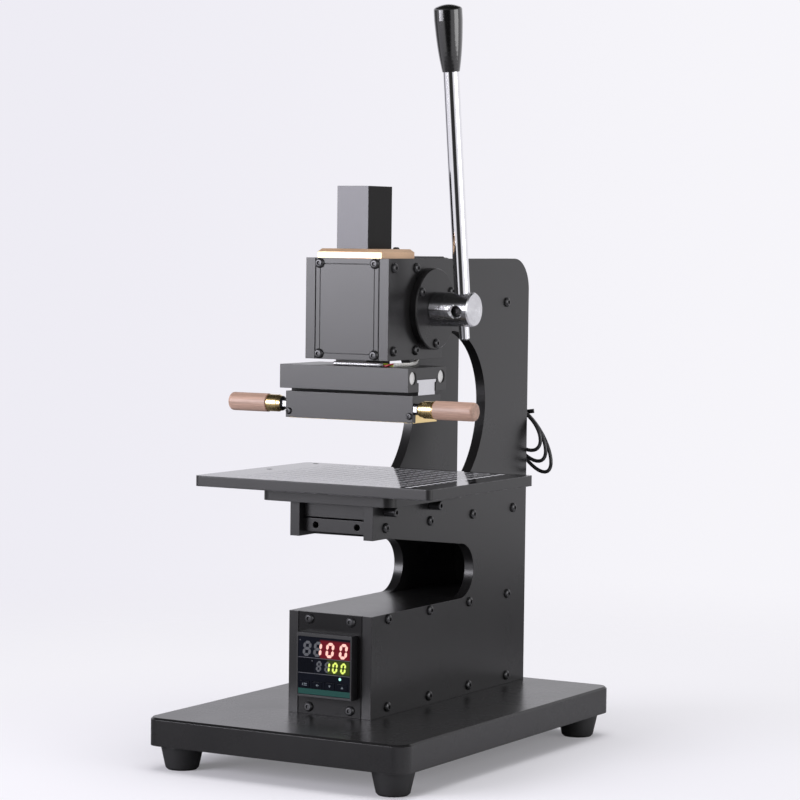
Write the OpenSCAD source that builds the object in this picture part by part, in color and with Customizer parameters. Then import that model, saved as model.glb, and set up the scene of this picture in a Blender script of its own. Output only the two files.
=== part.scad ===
// Hot foil stamping machine, hand lever type, with a heated head above a sliding table.
// Millimetres. The origin is on the floor under the middle of the base; the front faces -Y.

/* [Base] */
// Width of the base plate
base_w = 222; // [190:1:260]
// Depth of the base plate
base_d = 334; // [320:1:400]
// Thickness of the base plate
base_t = 21; // [12:1:30]
// Radius of the base plate's upright corners
base_corner_r = 11; // [4:1:20]
// Chamfer round the top of the base plate
base_chamfer = 1.5; // [0.5:0.5:3]
// Height of a rubber foot
foot_h = 18.5; // [10:0.5:30]
// Foot diameter against the base
foot_top_d = 32; // [26:1:40]
// Foot diameter on the floor
foot_floor_d = 25; // [18:1:25]
// Distance of a foot's centre from the base's edges
foot_inset = 20; // [20:1:30]

/* [Frame] */
// Clear width between the two side plates
frame_gap = 56; // [50:1:70]
// Thickness of a side plate
plate_t = 8; // [6:1:12]
// Distance of the frame's front from the base's front edge
frame_set = 80.5; // [70:0.5:90]
// Distance of the frame's rear from the base's rear edge
frame_back = 9.5; // [0:0.5:15]
// Height of the console under the slot
console_h = 77; // [65:1:90]
// Height of the slot behind the console's front
slot_h = 56.5; // [52:0.5:70]
// Radius of the slot's rear end
slot_r = 21.5; // [18:0.5:24]
// Height of the nose that carries the table
nose_h = 26; // [24:0.5:32]
// Height of the mouth between the nose and the head
mouth_h = 106.5; // [104:0.5:120]
// Height of the head
head_h = 76; // [74:1:90]
// How far the head stands back from the nose
head_set = 19; // [14:1:24]
// Depth of the head along its lower edge
head_d = 81; // [78:1:90]
// Depth of the throat from the frame's front
throat_d = 172; // [165:1:180]
// Radius of the throat's upper arc
throat_r = 57; // [52:1:60]
// Radius of the throat's lower arc
throat_low_r = 75; // [70:1:80]
// Radius of the frame's upper rear corner
frame_corner_r = 25; // [10:1:35]

/* [Head] */
// Thickness of the head's front cover
cover_t = 3; // [2:0.5:4]
// Depth of the two guide blocks
guide_d = 49; // [47:1:52]
// Height of the upper guide block
guide_top_h = 20; // [16:0.5:21]
// How far the upper guide block stands above the side plates
guide_proud = 7; // [3:0.5:8]
// Height of the lower guide block
guide_low_h = 14; // [10:0.5:14]
// Diameter of a bearing flange
flange_d = 62; // [56:1:66]
// Thickness of a bearing flange
flange_t = 6; // [4:0.5:8]
// Diameter of the bearing's spigot in the side plate
spigot_d = 30; // [26:1:34]

/* [Ram and gear] */
// Width of the ram column
col_w = 27; // [24:1:30]
// Depth of the ram column
col_d = 35; // [33:1:36]
// Distance of the ram's centre behind the head's front
ram_set = 24.5; // [24:0.5:25]
// How far the column stands above the frame
ram_rise = 54; // [50:1:70]
// Gear module
gear_m = 2; // [2:2]
// Number of teeth on the pinion
gear_teeth = 22; // [22:1:23]
// Width of the pinion
gear_w = 20; // [14:1:24]
// Diameter of the pinion shaft
shaft_d = 16; // [12:1:18]
// Depth of the shaft's axis below the frame's top
shaft_drop = 38; // [37.5:0.5:38.5]

/* [Lever] */
// Diameter of the lever's hub
hub_d = 26; // [24:1:32]
// Length of the lever's hub
hub_l = 33; // [30:1:38]
// Distance of the lever rod from the hub's outer end
rod_inset = 10; // [8:1:13]
// Diameter of the lever rod
rod_d = 12; // [10:1:14]
// Diameter of the rod's spigot through the hub
rod_spigot_d = 8; // [6:0.5:9]
// Length from the shaft's axis to the top of the grip
lever_l = 229; // [180:1:260]
// Forward lean of the raised lever in degrees
lever_lean = 7.5; // [0:0.5:15]
// Length of the grip
grip_l = 50; // [40:1:60]
// Largest diameter of the grip
grip_d = 21.4; // [18:0.2:26]

/* [Heating block] */
// Width of the heating block
heat_w = 112; // [100:1:130]
// Depth of the heating block
heat_d = 57; // [54:1:64]
// Height of the heating block
heat_h = 18; // [17.5:0.5:24]
// Diameter of a cartridge heater
heater_d = 10; // [8:0.5:10]
// Distance between the two heaters
heater_pitch = 43; // [42:0.5:44]
// Thickness of the plate between the column and the block
foot_plate_t = 4; // [3:0.5:6]

/* [Mould holder] */
// Depth of the mould holder
mould_d = 41; // [40:1:44]
// Height of the mould holder
mould_h = 20; // [19:0.5:24]
// Gap between the heating block and the mould holder
mould_gap = 2.6; // [2:0.2:4]
// Width of the brass die
die_w = 32; // [28:0.5:32]
// Height of the brass die
die_h = 7.4; // [6:0.2:8]
// How far the die stands below its holder
die_proud = 0.5; // [0.5:0.5:2]
// Diameter of a wooden handle
handle_d = 14; // [12:0.5:18]
// Length of a wooden handle
handle_l = 34; // [28:1:44]
// Length of a handle's brass ferrule
ferrule_l = 9.5; // [8:0.5:14]

/* [Table] */
// Width of the table
table_w = 204; // [180:1:210]
// Depth of the table
table_d = 161; // [140:1:165]
// Thickness of the table
table_t = 8; // [6:0.5:10]
// Radius of the table's corners
table_corner_r = 4; // [2:0.5:8]
// How far the table reaches in front of the frame
table_reach = 31.5; // [28:0.5:40]
// Width of the carrier under the table
carrier_w = 114; // [100:1:130]
// Thickness of the carrier
carrier_t = 9.5; // [8:0.5:12]
// Spacing of the fence holes across the table
fence_x = 176; // [150:1:176]
// Spacing of the fence holes along the table
fence_y = 68; // [50:1:90]
// Diameter of a fence hole
fence_hole_d = 5; // [4.2:0.2:6]

/* [Controller] */
// Side of the controller's square bezel
bezel_w = 48; // [48:1:52]
// Thickness of the bezel
bezel_t = 8.5; // [6:0.5:12]
// Depth of the controller's case
case_d = 75; // [50:1:90]

/* [Hidden] */
$fn = 96;

// Clearance between pieces that slide past each other
slide = 0.3;
// Radial clearance of a shaft in its bearing
run = 0.05;
// Clearance of a fixed piece in its seat
seat = 0.1;

// Heights of the frame, from the floor up
base_z = foot_h;
base_top = base_z + base_t;
console_top = base_top + console_h;
nose_bottom = console_top + slot_h;
nose_top = nose_bottom + nose_h;
head_bottom = nose_top + mouth_h;
frame_top = head_bottom + head_h;
throat_up_h = 36.5;
throat_mid = head_bottom - throat_up_h;

// Places along the depth
frame_d = base_d - frame_set - frame_back;
frame_y0 = -base_d / 2 + frame_set;
frame_y1 = frame_y0 + frame_d;
head_y0 = frame_y0 + head_set;
head_y1 = head_y0 + head_d;
throat_y = frame_y0 + throat_d;
ram_y = head_y0 + ram_set;
inner_x = frame_gap / 2;
outer_x = inner_x + plate_t;

// The pinion meshes with teeth cut into the column's rear face
gear_r = gear_m * gear_teeth / 2;
gear_pitch = PI * gear_m;
shaft_y = ram_y + col_d / 2 - gear_m + gear_r;
shaft_z = frame_top - shaft_drop;
backlash = 0.3;
pressure_angle = 20;

// The stack under the head, from the top down
head_gap = 0.7;
foot_plate_z = head_bottom - head_gap - foot_plate_t;
heat_z = foot_plate_z - heat_h;
mould_top = heat_z - mould_gap;
mould_z = mould_top - mould_h;
die_z = mould_z - die_proud;
stud_z = mould_z + mould_h / 2;
stud_y = ram_y - mould_d / 2 + 4;
stud_d = 5;
stud_grip = 15;
nut_l = 3.4;
nut_d = 8.6;
mould_w = heat_w - 1;
collar_x = mould_w / 2 + nut_l;
collar_l = 4.5;
ferrule_x = collar_x + collar_l;
groove_l = 0.8;
handle_x = ferrule_x + ferrule_l;
handle_bore = 12;
die_screw_x = mould_w / 2 - 2.7;

// The rail under the heating block: a flange that hangs in the block's T slot
rail_flange_w = 29.5;
rail_flange_h = 2.2;
rail_web_w = 25;
rail_drop = 9;
rail_top = heat_z + rail_drop;

// The bed and what slides on it
bed_t = 10;
bed_z = nose_bottom + 3.3;
bed_set = 7;
bed_hole_x = 18;
bed_hole_d = 4.2;
bed_hole_l = 9;
carrier_z = nose_top + slide;
carrier_top = carrier_z + carrier_t;
table_top = carrier_top + table_t;
table_y0 = frame_y0 - table_reach;
fence_back = 9.5;
carrier_y0 = table_y0 + 22;
carrier_d = 112;
carrier_corner_r = 8;
rail_gap = 1.2;
rail_z = bed_z + bed_t + rail_gap;
rail_d = 118;
stroke = die_z - table_top - 0.8;
col_top = frame_top + ram_rise;

// Cover on top of the head, behind the guide block
top_cover_d = 49;
top_cover_t = 6.6;
top_cover_proud = 1.6;
top_cover_bevel_d = 4;
top_cover_bevel_h = 2.1;

// Console
slot_d = 135;
chin_d = 22;
panel_t = 3;
panel_gap = 0.3;
panel_bevel = 0.5;
console_plate_t = 8;
console_floor_t = 14;
console_plate_y0 = frame_y0 + panel_t;
console_plate_d = frame_d - 2 * panel_t;
bezel_z = base_top + 14.4;
case_w = bezel_w - 3.2;
window_w = bezel_w - 2.4;
window_z = bezel_z + 1.6;
window_h = bezel_w - 4.3;
window_t = 1.2;
window_recess = 0.4;
key_w = 8.5;
key_h = 5;
key_t = 2.2;
key_pitch = 10.95;
key_mid = -0.5;
key_z = bezel_z + 9.2;
key_travel = 0.5;
key_pocket = key_t + window_recess + key_travel + slide;

// Rear fittings: a power inlet, a rocker switch over it and the heater lead's gland
inlet_w = 27;
inlet_h = 20;
inlet_d = 22;
inlet_rise = 34;
inlet_z = base_top + inlet_rise;
pin_pitch = 7;
rim_t = 1.6;
switch_x = -12;
switch_rise = 58;
switch_z = base_top + switch_rise;
switch_w = 13;
switch_h = 19.2;
rocker_w = 10;
rocker_h = 15.2;
rocker_tilt = 7;
rocker_y = frame_y1 - 1;
rocker_pin_d = 2.4;
rocker_pin_l = 0.9;
lead_gland_x = 16;
lead_gland_rise = 60;
lead_gland_z = base_top + lead_gland_rise;
gland_d = 7;
gland_l = 9;
lead_d = 3;
spacer_back = 38;
spacer_drop = 34.7;
spacer_y = frame_y1 - spacer_back;
spacer_z = frame_top - spacer_drop;
spacer_d = 16;

// Side screws: one row for each cross plate
screw_d = 7.6;
guide_screw_dy = 16.6;
bed_screw_front = 18.5;
bed_screw_back = 22.4;
bed_screw_y0 = frame_y0 + bed_screw_front;
bed_screw_pitch = (frame_d - bed_screw_front - bed_screw_back) / 3;
console_screw_front = 24;
console_screw_back = 30.7;
console_screw_y0 = frame_y0 + console_screw_front;
console_screw_pitch = (frame_d - console_screw_front - console_screw_back) / 3;
upper_guide_z = frame_top + guide_proud - guide_top_h;
guide_screw_top = upper_guide_z + 6;
guide_screw_low = head_bottom + guide_low_h / 2;
side_screw_places = concat(
    [for (s = [-1, 1], z = [guide_screw_low, guide_screw_top]) [ram_y + s * guide_screw_dy, z]],
    [for (i = [0:3]) [bed_screw_y0 + i * bed_screw_pitch, bed_z + bed_t / 2]],
    [for (i = [0:3], z = [console_top - console_plate_t / 2, base_top + console_floor_t / 2])
        [console_screw_y0 + i * console_screw_pitch, z]],
    [[spacer_y, spacer_z]]);
lock_screw_z = rail_z + (carrier_z - rail_z) / 2;
lock_screw_l = 9.5;

// Helpers

// A box given by its centre in X, its front in Y and its foot in Z
module block(w, d, h, y0, z0) {
    translate([-w / 2, y0, z0]) cube([w, d, h]);
}

// A plate with rounded upright corners
module rounded_plate(w, d, h, r) {
    linear_extrude(h) rounded_outline(w, d, r);
}

module rounded_outline(w, d, r) {
    union() {
        square([w - 2 * r, d], center = true);
        square([w, d - 2 * r], center = true);
        for (x = [-1, 1], y = [-1, 1])
            translate([x * (w / 2 - r), y * (d / 2 - r)]) circle(r = r);
    }
}

// Turns a piece drawn along +Z so that it points along +X or -X
module along_x(dir) {
    rotate([0, dir * 90, 0]) children();
}

// Turns a piece drawn along +Z so that it points along -Y (dir 1) or +Y (dir -1)
module along_y(dir) {
    rotate([dir * 90, 0, 0]) children();
}

// A button head screw with a hexagon socket, standing on z = 0
module button_head(d) {
    difference() {
        rotate_extrude() polygon([[0, 0], [d * 0.5, 0], [d * 0.5, d * 0.1],
            [d * 0.44, d * 0.2], [d * 0.32, d * 0.28], [0, d * 0.31]]);
        translate([0, 0, d * 0.16]) cylinder(h = d * 0.3, d = d * 0.42, $fn = 6);
    }
}

// A cap head screw of length l with a hexagon socket in its end
module cap_head(d, l) {
    difference() {
        union() {
            cylinder(h = l - d * 0.08, d = d);
            translate([0, 0, l - d * 0.08]) cylinder(h = d * 0.08, d1 = d, d2 = d * 0.84);
        }
        translate([0, 0, l - d * 0.4]) cylinder(h = d, d = d * 0.5, $fn = 6);
    }
}

// A round tube of diameter d swept along points; ref is never along the path
module swept(points, d, sides, ref) {
    n = len(points);
    function heading(i) = points[min(i + 1, n - 1)] - points[max(i - 1, 0)];
    function unit(v) = v / norm(v);
    function side_of(i) = unit(cross(heading(i), ref));
    function up_of(i) = unit(cross(side_of(i), heading(i)));
    rings = [for (i = [0:n - 1], k = [0:sides - 1])
        let (a = 360 * k / sides)
        points[i] + d / 2 * (cos(a) * side_of(i) + sin(a) * up_of(i))];
    walls = [for (i = [0:n - 2], k = [0:sides - 1])
        let (m = (k + 1) % sides)
        [i * sides + k, i * sides + m, (i + 1) * sides + m, (i + 1) * sides + k]];
    first = [for (k = [sides - 1:-1:0]) k];
    last = [for (k = [0:sides - 1]) (n - 1) * sides + k];
    polyhedron(points = rings, faces = concat(walls, [first], [last]));
}

// A smooth path through chosen points, with steps pieces between each two
function smooth(p, steps) = concat(
    [for (i = [0:len(p) - 2], s = [0:steps - 1])
        let (t = s / steps, a = p[max(i - 1, 0)], b = p[i], c = p[i + 1],
            e = p[min(i + 2, len(p) - 1)])
        0.5 * (2 * b + (c - a) * t + (2 * a - 5 * b + 4 * c - e) * t * t
            + (3 * b - a - 3 * c + e) * t * t * t)],
    [p[len(p) - 1]]);

// A plate with rounded upright corners and a chamfer c round its top
module chamfered_plate(w, d, h, r, c) {
    for (x = [-1, 1], y = [-1, 1]) translate([x * (w / 2 - r), y * (d / 2 - r), 0]) {
        cylinder(h = h - c, r = r);
        translate([0, 0, h - c]) cylinder(h = c, r1 = r, r2 = r - c);
    }
    rotate([90, 0, 0]) translate([0, 0, r - d / 2]) linear_extrude(d - 2 * r)
        chamfered(-w / 2, w, 0, h, c);
    rotate([90, 0, 90]) translate([0, 0, r - w / 2]) linear_extrude(w - 2 * r)
        chamfered(-d / 2, d, 0, h, c);
}

// An upright rectangle with its two top corners cut
module chamfered(x0, w, y0, h, cut) {
    polygon([[x0, y0], [x0 + w, y0], [x0 + w, y0 + h - cut], [x0 + w - cut, y0 + h],
        [x0 + cut, y0 + h], [x0, y0 + h - cut]]);
}

// Base

module base_plate() {
    color("dimgray") translate([0, 0, base_z])
        chamfered_plate(base_w, base_d, base_t, base_corner_r, base_chamfer);
}

// Tapered rubber feet with a recess for their screws
module rubber_feet() {
    lip = 1.5;
    bore = 4.4;
    recess = 8;
    floor_r = foot_floor_d / 2;
    color("black") for (x = [-1, 1], y = [-1, 1])
        translate([x * (base_w / 2 - foot_inset), y * (base_d / 2 - foot_inset), 0])
        rotate_extrude() polygon([[recess / 2, 4], [recess / 2, 0], [floor_r - lip, 0],
            [floor_r, lip], [foot_top_d / 2, foot_h - lip], [foot_top_d / 2 - 0.5, foot_h],
            [bore / 2, foot_h], [bore / 2, 4]]);
}

// Frame

// The outline of a side plate, drawn with the depth along x and the height along y
module side_outline() {
    difference() {
        union() {
            translate([frame_y0, base_top])
                square([frame_d, frame_top - base_top - frame_corner_r]);
            translate([frame_y0, base_top])
                square([frame_d - frame_corner_r, frame_top - base_top]);
            translate([frame_y1 - frame_corner_r, frame_top - frame_corner_r])
                circle(r = frame_corner_r);
        }
        // in front of the head
        translate([frame_y0 - 1, nose_top]) square([head_set + 1, frame_top - nose_top + 1]);
        throat_outline();
        slot_outline();
    }
}

// The mouth under the head, with its two arcs at the rear
module throat_outline() {
    low_y = throat_y - throat_low_r;
    up_y = throat_y - throat_r;
    translate([frame_y0 - 1, nose_top])
        square([low_y - frame_y0 + 1, head_bottom - nose_top]);
    intersection() {
        translate([low_y, throat_mid]) circle(r = throat_low_r, $fn = 128);
        translate([low_y - 1, nose_top]) square([throat_low_r + 2, throat_mid - nose_top]);
    }
    intersection() {
        translate([up_y, throat_mid]) circle(r = throat_r, $fn = 128);
        union() {
            translate([head_y1, throat_mid - 1]) square([throat_r * 2, throat_r + 2]);
            translate([low_y - 20, throat_mid - 1]) square([60, head_bottom - throat_mid + 1]);
        }
    }
}

// The slot between the console and the nose
module slot_outline() {
    end_y = frame_y0 + slot_d;
    polygon([[frame_y0 - 1, console_top], [end_y, console_top], [end_y, console_top + 2 * slot_r],
        [frame_y0 + chin_d, nose_bottom], [frame_y0 - 1, nose_bottom]]);
    translate([end_y, console_top + slot_r]) circle(r = slot_r);
}

module side_plate(dir) {
    color([0.27, 0.27, 0.28]) difference() {
        translate([dir > 0 ? inner_x : -outer_x, 0, 0])
            rotate([90, 0, 90]) linear_extrude(plate_t) side_outline();
        translate([0, shaft_y, shaft_z])
            along_x(dir) cylinder(h = outer_x + 1, d = spigot_d + 2 * seat);
        if (dir > 0)
            for (i = [0, 1]) translate([0, bed_screw_y0 + i * bed_screw_pitch, lock_screw_z])
                along_x(1) cylinder(h = outer_x + 1, d = 5 + 2 * run);
    }
}

module bed_plate() {
    countersink = 1;
    color([0.5, 0.5, 0.52]) difference() {
        block(frame_gap, frame_d - bed_set - panel_t, bed_t, frame_y0 + bed_set, bed_z);
        for (s = [-1, 1]) translate([s * bed_hole_x, frame_y0 + bed_set, bed_z + bed_t / 2]) {
            translate([0, bed_hole_l, 0]) along_y(1) cylinder(h = bed_hole_l + 1, d = bed_hole_d);
            translate([0, countersink, 0]) along_y(1)
                cylinder(h = 2 * countersink, d1 = bed_hole_d, d2 = bed_hole_d + 2 * countersink);
        }
    }
}

module rear_spacer() {
    color("gray") translate([-inner_x, spacer_y, spacer_z])
        along_x(1) cylinder(h = frame_gap, d = spacer_d);
}

// Side screws stand on the outer faces of both side plates
module side_screws() {
    color("silver") for (s = [-1, 1], p = side_screw_places)
        translate([s * outer_x, p[0], p[1]]) along_x(s) button_head(screw_d);
}

// Console

module console_bottom_plate() {
    color([0.3, 0.3, 0.31])
        block(frame_gap, console_plate_d, console_floor_t, console_plate_y0, base_top);
}

module console_top_cover() {
    color([0.3, 0.3, 0.31])
        block(frame_gap, console_plate_d, console_plate_t, console_plate_y0,
            console_top - console_plate_t);
}

// A cover between the side plates, its upright front edges bevelled
module front_cover(t, h, y0, z0) {
    translate([0, y0 + t, z0]) linear_extrude(h) rotate(180)
        chamfered(panel_gap - inner_x, frame_gap - 2 * panel_gap, 0, t, panel_bevel);
}

module console_front_panel() {
    color([0.5, 0.5, 0.52]) difference() {
        front_cover(panel_t, console_h, frame_y0, base_top);
        block(case_w + 2 * seat, panel_t + 2, case_w + 2 * seat, frame_y0 - 1,
            bezel_z + (bezel_w - case_w) / 2 - seat);
    }
}

module rear_cover() {
    cover_h = bed_z + bed_t - base_top;
    color([0.3, 0.3, 0.31]) difference() {
        block(frame_gap - 2 * seat, panel_t, cover_h, frame_y1 - panel_t, base_top);
        rear_opening(0, inlet_z, inlet_w, inlet_h);
        rear_opening(switch_x, switch_z, switch_w, switch_h);
        translate([lead_gland_x, frame_y1 + 1, lead_gland_z])
            along_y(1) cylinder(h = panel_t + 2, d = gland_d + 2 * seat);
    }
}

// A cut-out in the rear cover for a fitting of width w and height h
module rear_opening(x, z, w, h) {
    translate([x, 0, z]) block(w + 2 * seat, panel_t + 2, h + 2 * seat,
        frame_y1 - panel_t - 1, -h / 2 - seat);
}

// Screws of the console's front panel, the head's covers, the upper guide and the rear cover
module panel_screws() {
    color("silver") {
        for (s = [-1, 1], z = [base_top + 5.5, console_top - 5])
            translate([s * (inner_x - 10), frame_y0, z]) along_y(1) button_head(screw_d);
        for (s = [-1, 1], z = [head_bottom + 4, frame_top - 4])
            translate([s * (inner_x - 4), head_y0, z]) along_y(1) button_head(screw_d);
        for (s = [-1, 1], z = [base_top + console_floor_t / 2, bed_z + bed_t / 2])
            translate([s * (inner_x - 7), frame_y1, z]) along_y(-1) button_head(7);
        for (s = [-1, 1]) translate([s * (inner_x - 6.5), ram_y + 11, frame_top + guide_proud])
            button_head(5);
    }
}

// Temperature controller

module controller_case() {
    color([0.1, 0.1, 0.1])
        block(case_w, case_d, case_w, frame_y0, bezel_z + (bezel_w - case_w) / 2);
}

module controller_bezel() {
    color([0.2, 0.2, 0.22]) difference() {
        block(bezel_w, bezel_t, bezel_w, frame_y0 - bezel_t, bezel_z);
        block(window_w, window_t + window_recess + 1, window_h, frame_y0 - bezel_t - 1, window_z);
        for (i = [0:3]) key_space(i, slide);
    }
}

module controller_window() {
    color([0.15, 0.2, 0.3]) difference() {
        block(window_w - 2 * seat, window_t, window_h - 2 * seat,
            frame_y0 - bezel_t + window_recess, window_z + seat);
        for (i = [0:3]) key_space(i, slide);
    }
}

// The hole that key i runs in
module key_space(i, gap) {
    translate([key_mid + (i - 1.5) * key_pitch, 0, 0])
        block(key_w + 2 * gap, key_pocket + 1, key_h + 2 * gap, frame_y0 - bezel_t - 1,
            key_z - key_h / 2 - gap);
}

module key(i) {
    color([0.25, 0.3, 0.38]) translate([key_mid + (i - 1.5) * key_pitch, 0, 0])
        block(key_w, key_t, key_h, frame_y0 - bezel_t + window_recess - 0.2, key_z - key_h / 2);
}

// Rear fittings

module switch_housing() {
    color([0.08, 0.08, 0.08]) translate([switch_x, 0, switch_z]) difference() {
        union() {
            block(switch_w, 14, switch_h, frame_y1 - 14, -switch_h / 2);
            block(switch_w + 2, rim_t, switch_h + 2, frame_y1, -switch_h / 2 - 1);
        }
        block(rocker_w + 2 * slide, 9, rocker_h + 1.4, frame_y1 - 7, -rocker_h / 2 - 0.7);
        rocker_pin(rocker_pin_l + seat, rocker_pin_d + 2 * run);
    }
}

// The pin that the rocker tilts on, standing l out of each of its sides
module rocker_pin(l, d) {
    half = rocker_w / 2 + l;
    translate([-half, rocker_y, 0]) along_x(1) cylinder(h = 2 * half, d = d);
}

module switch_rocker() {
    half = rocker_h / 2;
    color([0.08, 0.08, 0.08]) translate([switch_x, 0, switch_z]) {
        rocker_pin(rocker_pin_l, rocker_pin_d);
        translate([-rocker_w / 2, rocker_y, 0]) rotate([-rocker_tilt, 0, 0])
            rotate([90, 0, 90]) linear_extrude(rocker_w)
            polygon([[-2, -half + 0.2], [3.4, -half], [1.8, 0], [3.4, half], [-2, half - 0.2]]);
    }
}

// A three-pin power inlet, its socket open to the rear
module power_inlet() {
    wall = 2;
    deep = 15;
    color([0.08, 0.08, 0.08]) translate([0, 0, inlet_z]) {
        difference() {
            union() {
                block(inlet_w, inlet_d, inlet_h, frame_y1 - inlet_d, -inlet_h / 2);
                block(inlet_w + 21, rim_t, inlet_h + 2, frame_y1, -inlet_h / 2 - 1);
            }
            translate([0, frame_y1 + rim_t + 1, 0]) along_y(1) linear_extrude(deep + 1)
                inlet_outline(inlet_w - 2 * wall, inlet_h - 2 * wall);
            for (s = [-1, 1]) translate([s * (inlet_w / 2 + 6.5), frame_y1 + rim_t + 1, 0])
                along_y(1) cylinder(h = rim_t + 2, d = 3.4);
        }
        for (x = [-1, 0, 1])
            translate([x * pin_pitch, 0, x == 0 ? 2 : -2])
            block(2, deep - 3, 4, frame_y1 + rim_t - deep, -2);
    }
}

// The socket's outline, with its two lower corners cut
module inlet_outline(w, h) {
    cut = 4.5;
    polygon([[-w / 2, h / 2], [w / 2, h / 2], [w / 2, cut - h / 2], [w / 2 - cut, -h / 2],
        [cut - w / 2, -h / 2], [-w / 2, cut - h / 2]]);
}

// A gland with its lock nut inside the rear cover
module lead_gland() {
    bore = lead_d + 2 * run;
    nut = 3;
    color([0.12, 0.12, 0.12]) translate([lead_gland_x, frame_y1, lead_gland_z]) along_y(-1)
        difference() {
            union() {
                translate([0, 0, -panel_t - nut]) cylinder(h = nut, d = gland_d + 3, $fn = 6);
                translate([0, 0, -panel_t]) cylinder(h = panel_t, d = gland_d);
                cylinder(h = gland_l / 3, d = gland_d + 3.4, $fn = 6);
                translate([0, 0, gland_l / 3]) cylinder(h = gland_l / 3, d = gland_d + 1.4);
                translate([0, 0, gland_l * 2 / 3])
                    cylinder(h = gland_l / 3, d1 = gland_d + 1.4, d2 = lead_d + 2.4);
            }
            translate([0, 0, -panel_t - nut - 1]) cylinder(h = gland_l + panel_t + nut + 2, d = bore);
        }
}

// The heater lead runs back over the rear spacer and down, is coiled in a few slack turns
// that are tied at one side, and then drops to its gland. Heights are above the base plate.
lead_over = [[20, 13.3, 315], [19, 40, 316], [18, 68, 317], [18, 94, 317], [18, 112, 317.2],
    [18, 124, 317.2], [18, 134, 313], [18, 141, 301], [18, 146, 283], [18, 150, 263],
    [18, 154, 247], [17.5, 158, 233]];
lead_down = [[20, 173, 185], [19, 175, 173], [16, 178, 157], [13, 180, 137], [11, 180, 115],
    [11, 180, 93], [12, 178, 75], [14, 174, 64], [16, 169, 60]];
coil_c = [29, 160, 205];
coil_w = 15;
coil_h = 14.5;
coil_turns = 3;
coil_pitch = 3.6;
coil_steps = 12;
tie_angle = 130;
// The coil after t turns: each turn hangs lower and further right away from the tie
function coil_at(t) = let (a = tie_angle + 360 * t, hang = t * (1 - cos(360 * t)) / 2)
    coil_c + [coil_w * cos(a) - 2.5 * sin(a) + 3.5 * hang, coil_pitch * t,
        coil_h * sin(a) - 3 * cos(a) - 9 * hang];
coil = [for (k = [0:coil_turns * coil_steps + 2]) coil_at(k / coil_steps)];
lead_path = concat(
    [for (p = concat(smooth(lead_over, 2), coil, smooth(lead_down, 2))) p + [0, 0, base_top]],
    [[lead_gland_x, frame_y1 + gland_l - 2, lead_gland_z]]);

module heater_lead() {
    color([0.1, 0.1, 0.1]) swept(lead_path, lead_d, 8, [0.94, 0.34, 0]);
}

// A cable tie round the strands, with its tail
module lead_tie() {
    reach = coil_turns * coil_pitch + lead_d + 4 * slide;
    deep = lead_d + 9 * slide;
    wall = 1.2;
    tie_w = 3.5;
    at = coil_at(0.05);
    color([0.15, 0.15, 0.15])
        translate([at[0], coil_c[1] + coil_pitch * (coil_turns / 2 + 0.05), base_top + at[2]]) {
            rotate([0, 22, 0]) difference() {
                cube([deep + 2 * wall, reach + 2 * wall, tie_w], center = true);
                cube([deep, reach, tie_w + 2], center = true);
            }
            translate([0, reach / 2 + wall - 0.4, 0]) rotate([0, -8, 0])
                translate([-2.5, 0, -tie_w / 2]) cube([21, 1.4, tie_w]);
        }
}

// Head

module guide_block(h, z0) {
    color([0.80, 0.66, 0.48]) difference() {
        block(frame_gap - 2 * seat, guide_d, h, head_y0 + cover_t, z0);
        block(col_w + 2 * slide, col_d + 2 * slide, h + 2, ram_y - col_d / 2 - slide, z0 - 1);
    }
}

module upper_guide_block() {
    cut = 2.4;
    color([0.80, 0.66, 0.48]) intersection() {
        guide_block(guide_top_h, upper_guide_z);
        // chamfers along the top edges
        rotate([90, 0, 90]) translate([0, 0, -frame_gap]) linear_extrude(2 * frame_gap)
            chamfered(head_y0 + cover_t, guide_d, upper_guide_z, guide_top_h, cut);
        rotate([90, 0, 0]) translate([0, 0, -frame_gap * 2]) linear_extrude(4 * frame_gap)
            chamfered(seat - inner_x, frame_gap - 2 * seat, upper_guide_z, guide_top_h, cut);
    }
}

module lower_guide_block() {
    guide_block(guide_low_h, head_bottom);
}

module head_front_cover() {
    border = 4.2;
    groove = 0.4;
    color([0.45, 0.45, 0.47]) difference() {
        front_cover(cover_t, head_h, head_y0, head_bottom);
        // a fine groove round the middle of the cover
        difference() {
            block(frame_gap - 2 * border, 2 * groove, head_h - 2 * border, head_y0 - groove,
                head_bottom + border);
            block(frame_gap - 2 * border - 2 * groove, 2, head_h - 2 * border - 2 * groove,
                head_y0 - 1, head_bottom + border + groove);
        }
    }
}

module head_top_cover() {
    y0 = head_y0 + cover_t + guide_d;
    y1 = y0 + top_cover_d;
    foot = frame_top + top_cover_proud - top_cover_t;
    top = frame_top + top_cover_proud;
    color([0.4, 0.4, 0.42]) rotate([90, 0, 90]) translate([0, 0, seat - inner_x])
        linear_extrude(frame_gap - 2 * seat)
        polygon([[y0, foot], [y1, foot], [y1, top - top_cover_bevel_h],
            [y1 - top_cover_bevel_d, top], [y0, top]]);
}

// A flanged bearing for the pinion shaft
module bearing_flange(dir) {
    color([0.25, 0.25, 0.26]) translate([0, shaft_y, shaft_z]) along_x(dir) difference() {
        union() {
            translate([0, 0, inner_x]) cylinder(h = plate_t, d = spigot_d);
            translate([0, 0, outer_x]) cylinder(h = flange_t - 0.8, d = flange_d);
            translate([0, 0, outer_x + flange_t - 0.8])
                cylinder(h = 0.8, d1 = flange_d, d2 = flange_d - 1.6);
        }
        cylinder(h = outer_x + flange_t + 1, d = shaft_d + 2 * run);
    }
}

module flange_screws() {
    rim = 5;
    circle_r = flange_d / 2 - rim;
    color("silver") for (s = [-1, 1], a = [30, 150, 270])
        translate([s * (outer_x + flange_t), shaft_y + circle_r * cos(a),
            shaft_z + circle_r * sin(a)])
        along_x(s) button_head(7);
}

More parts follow.
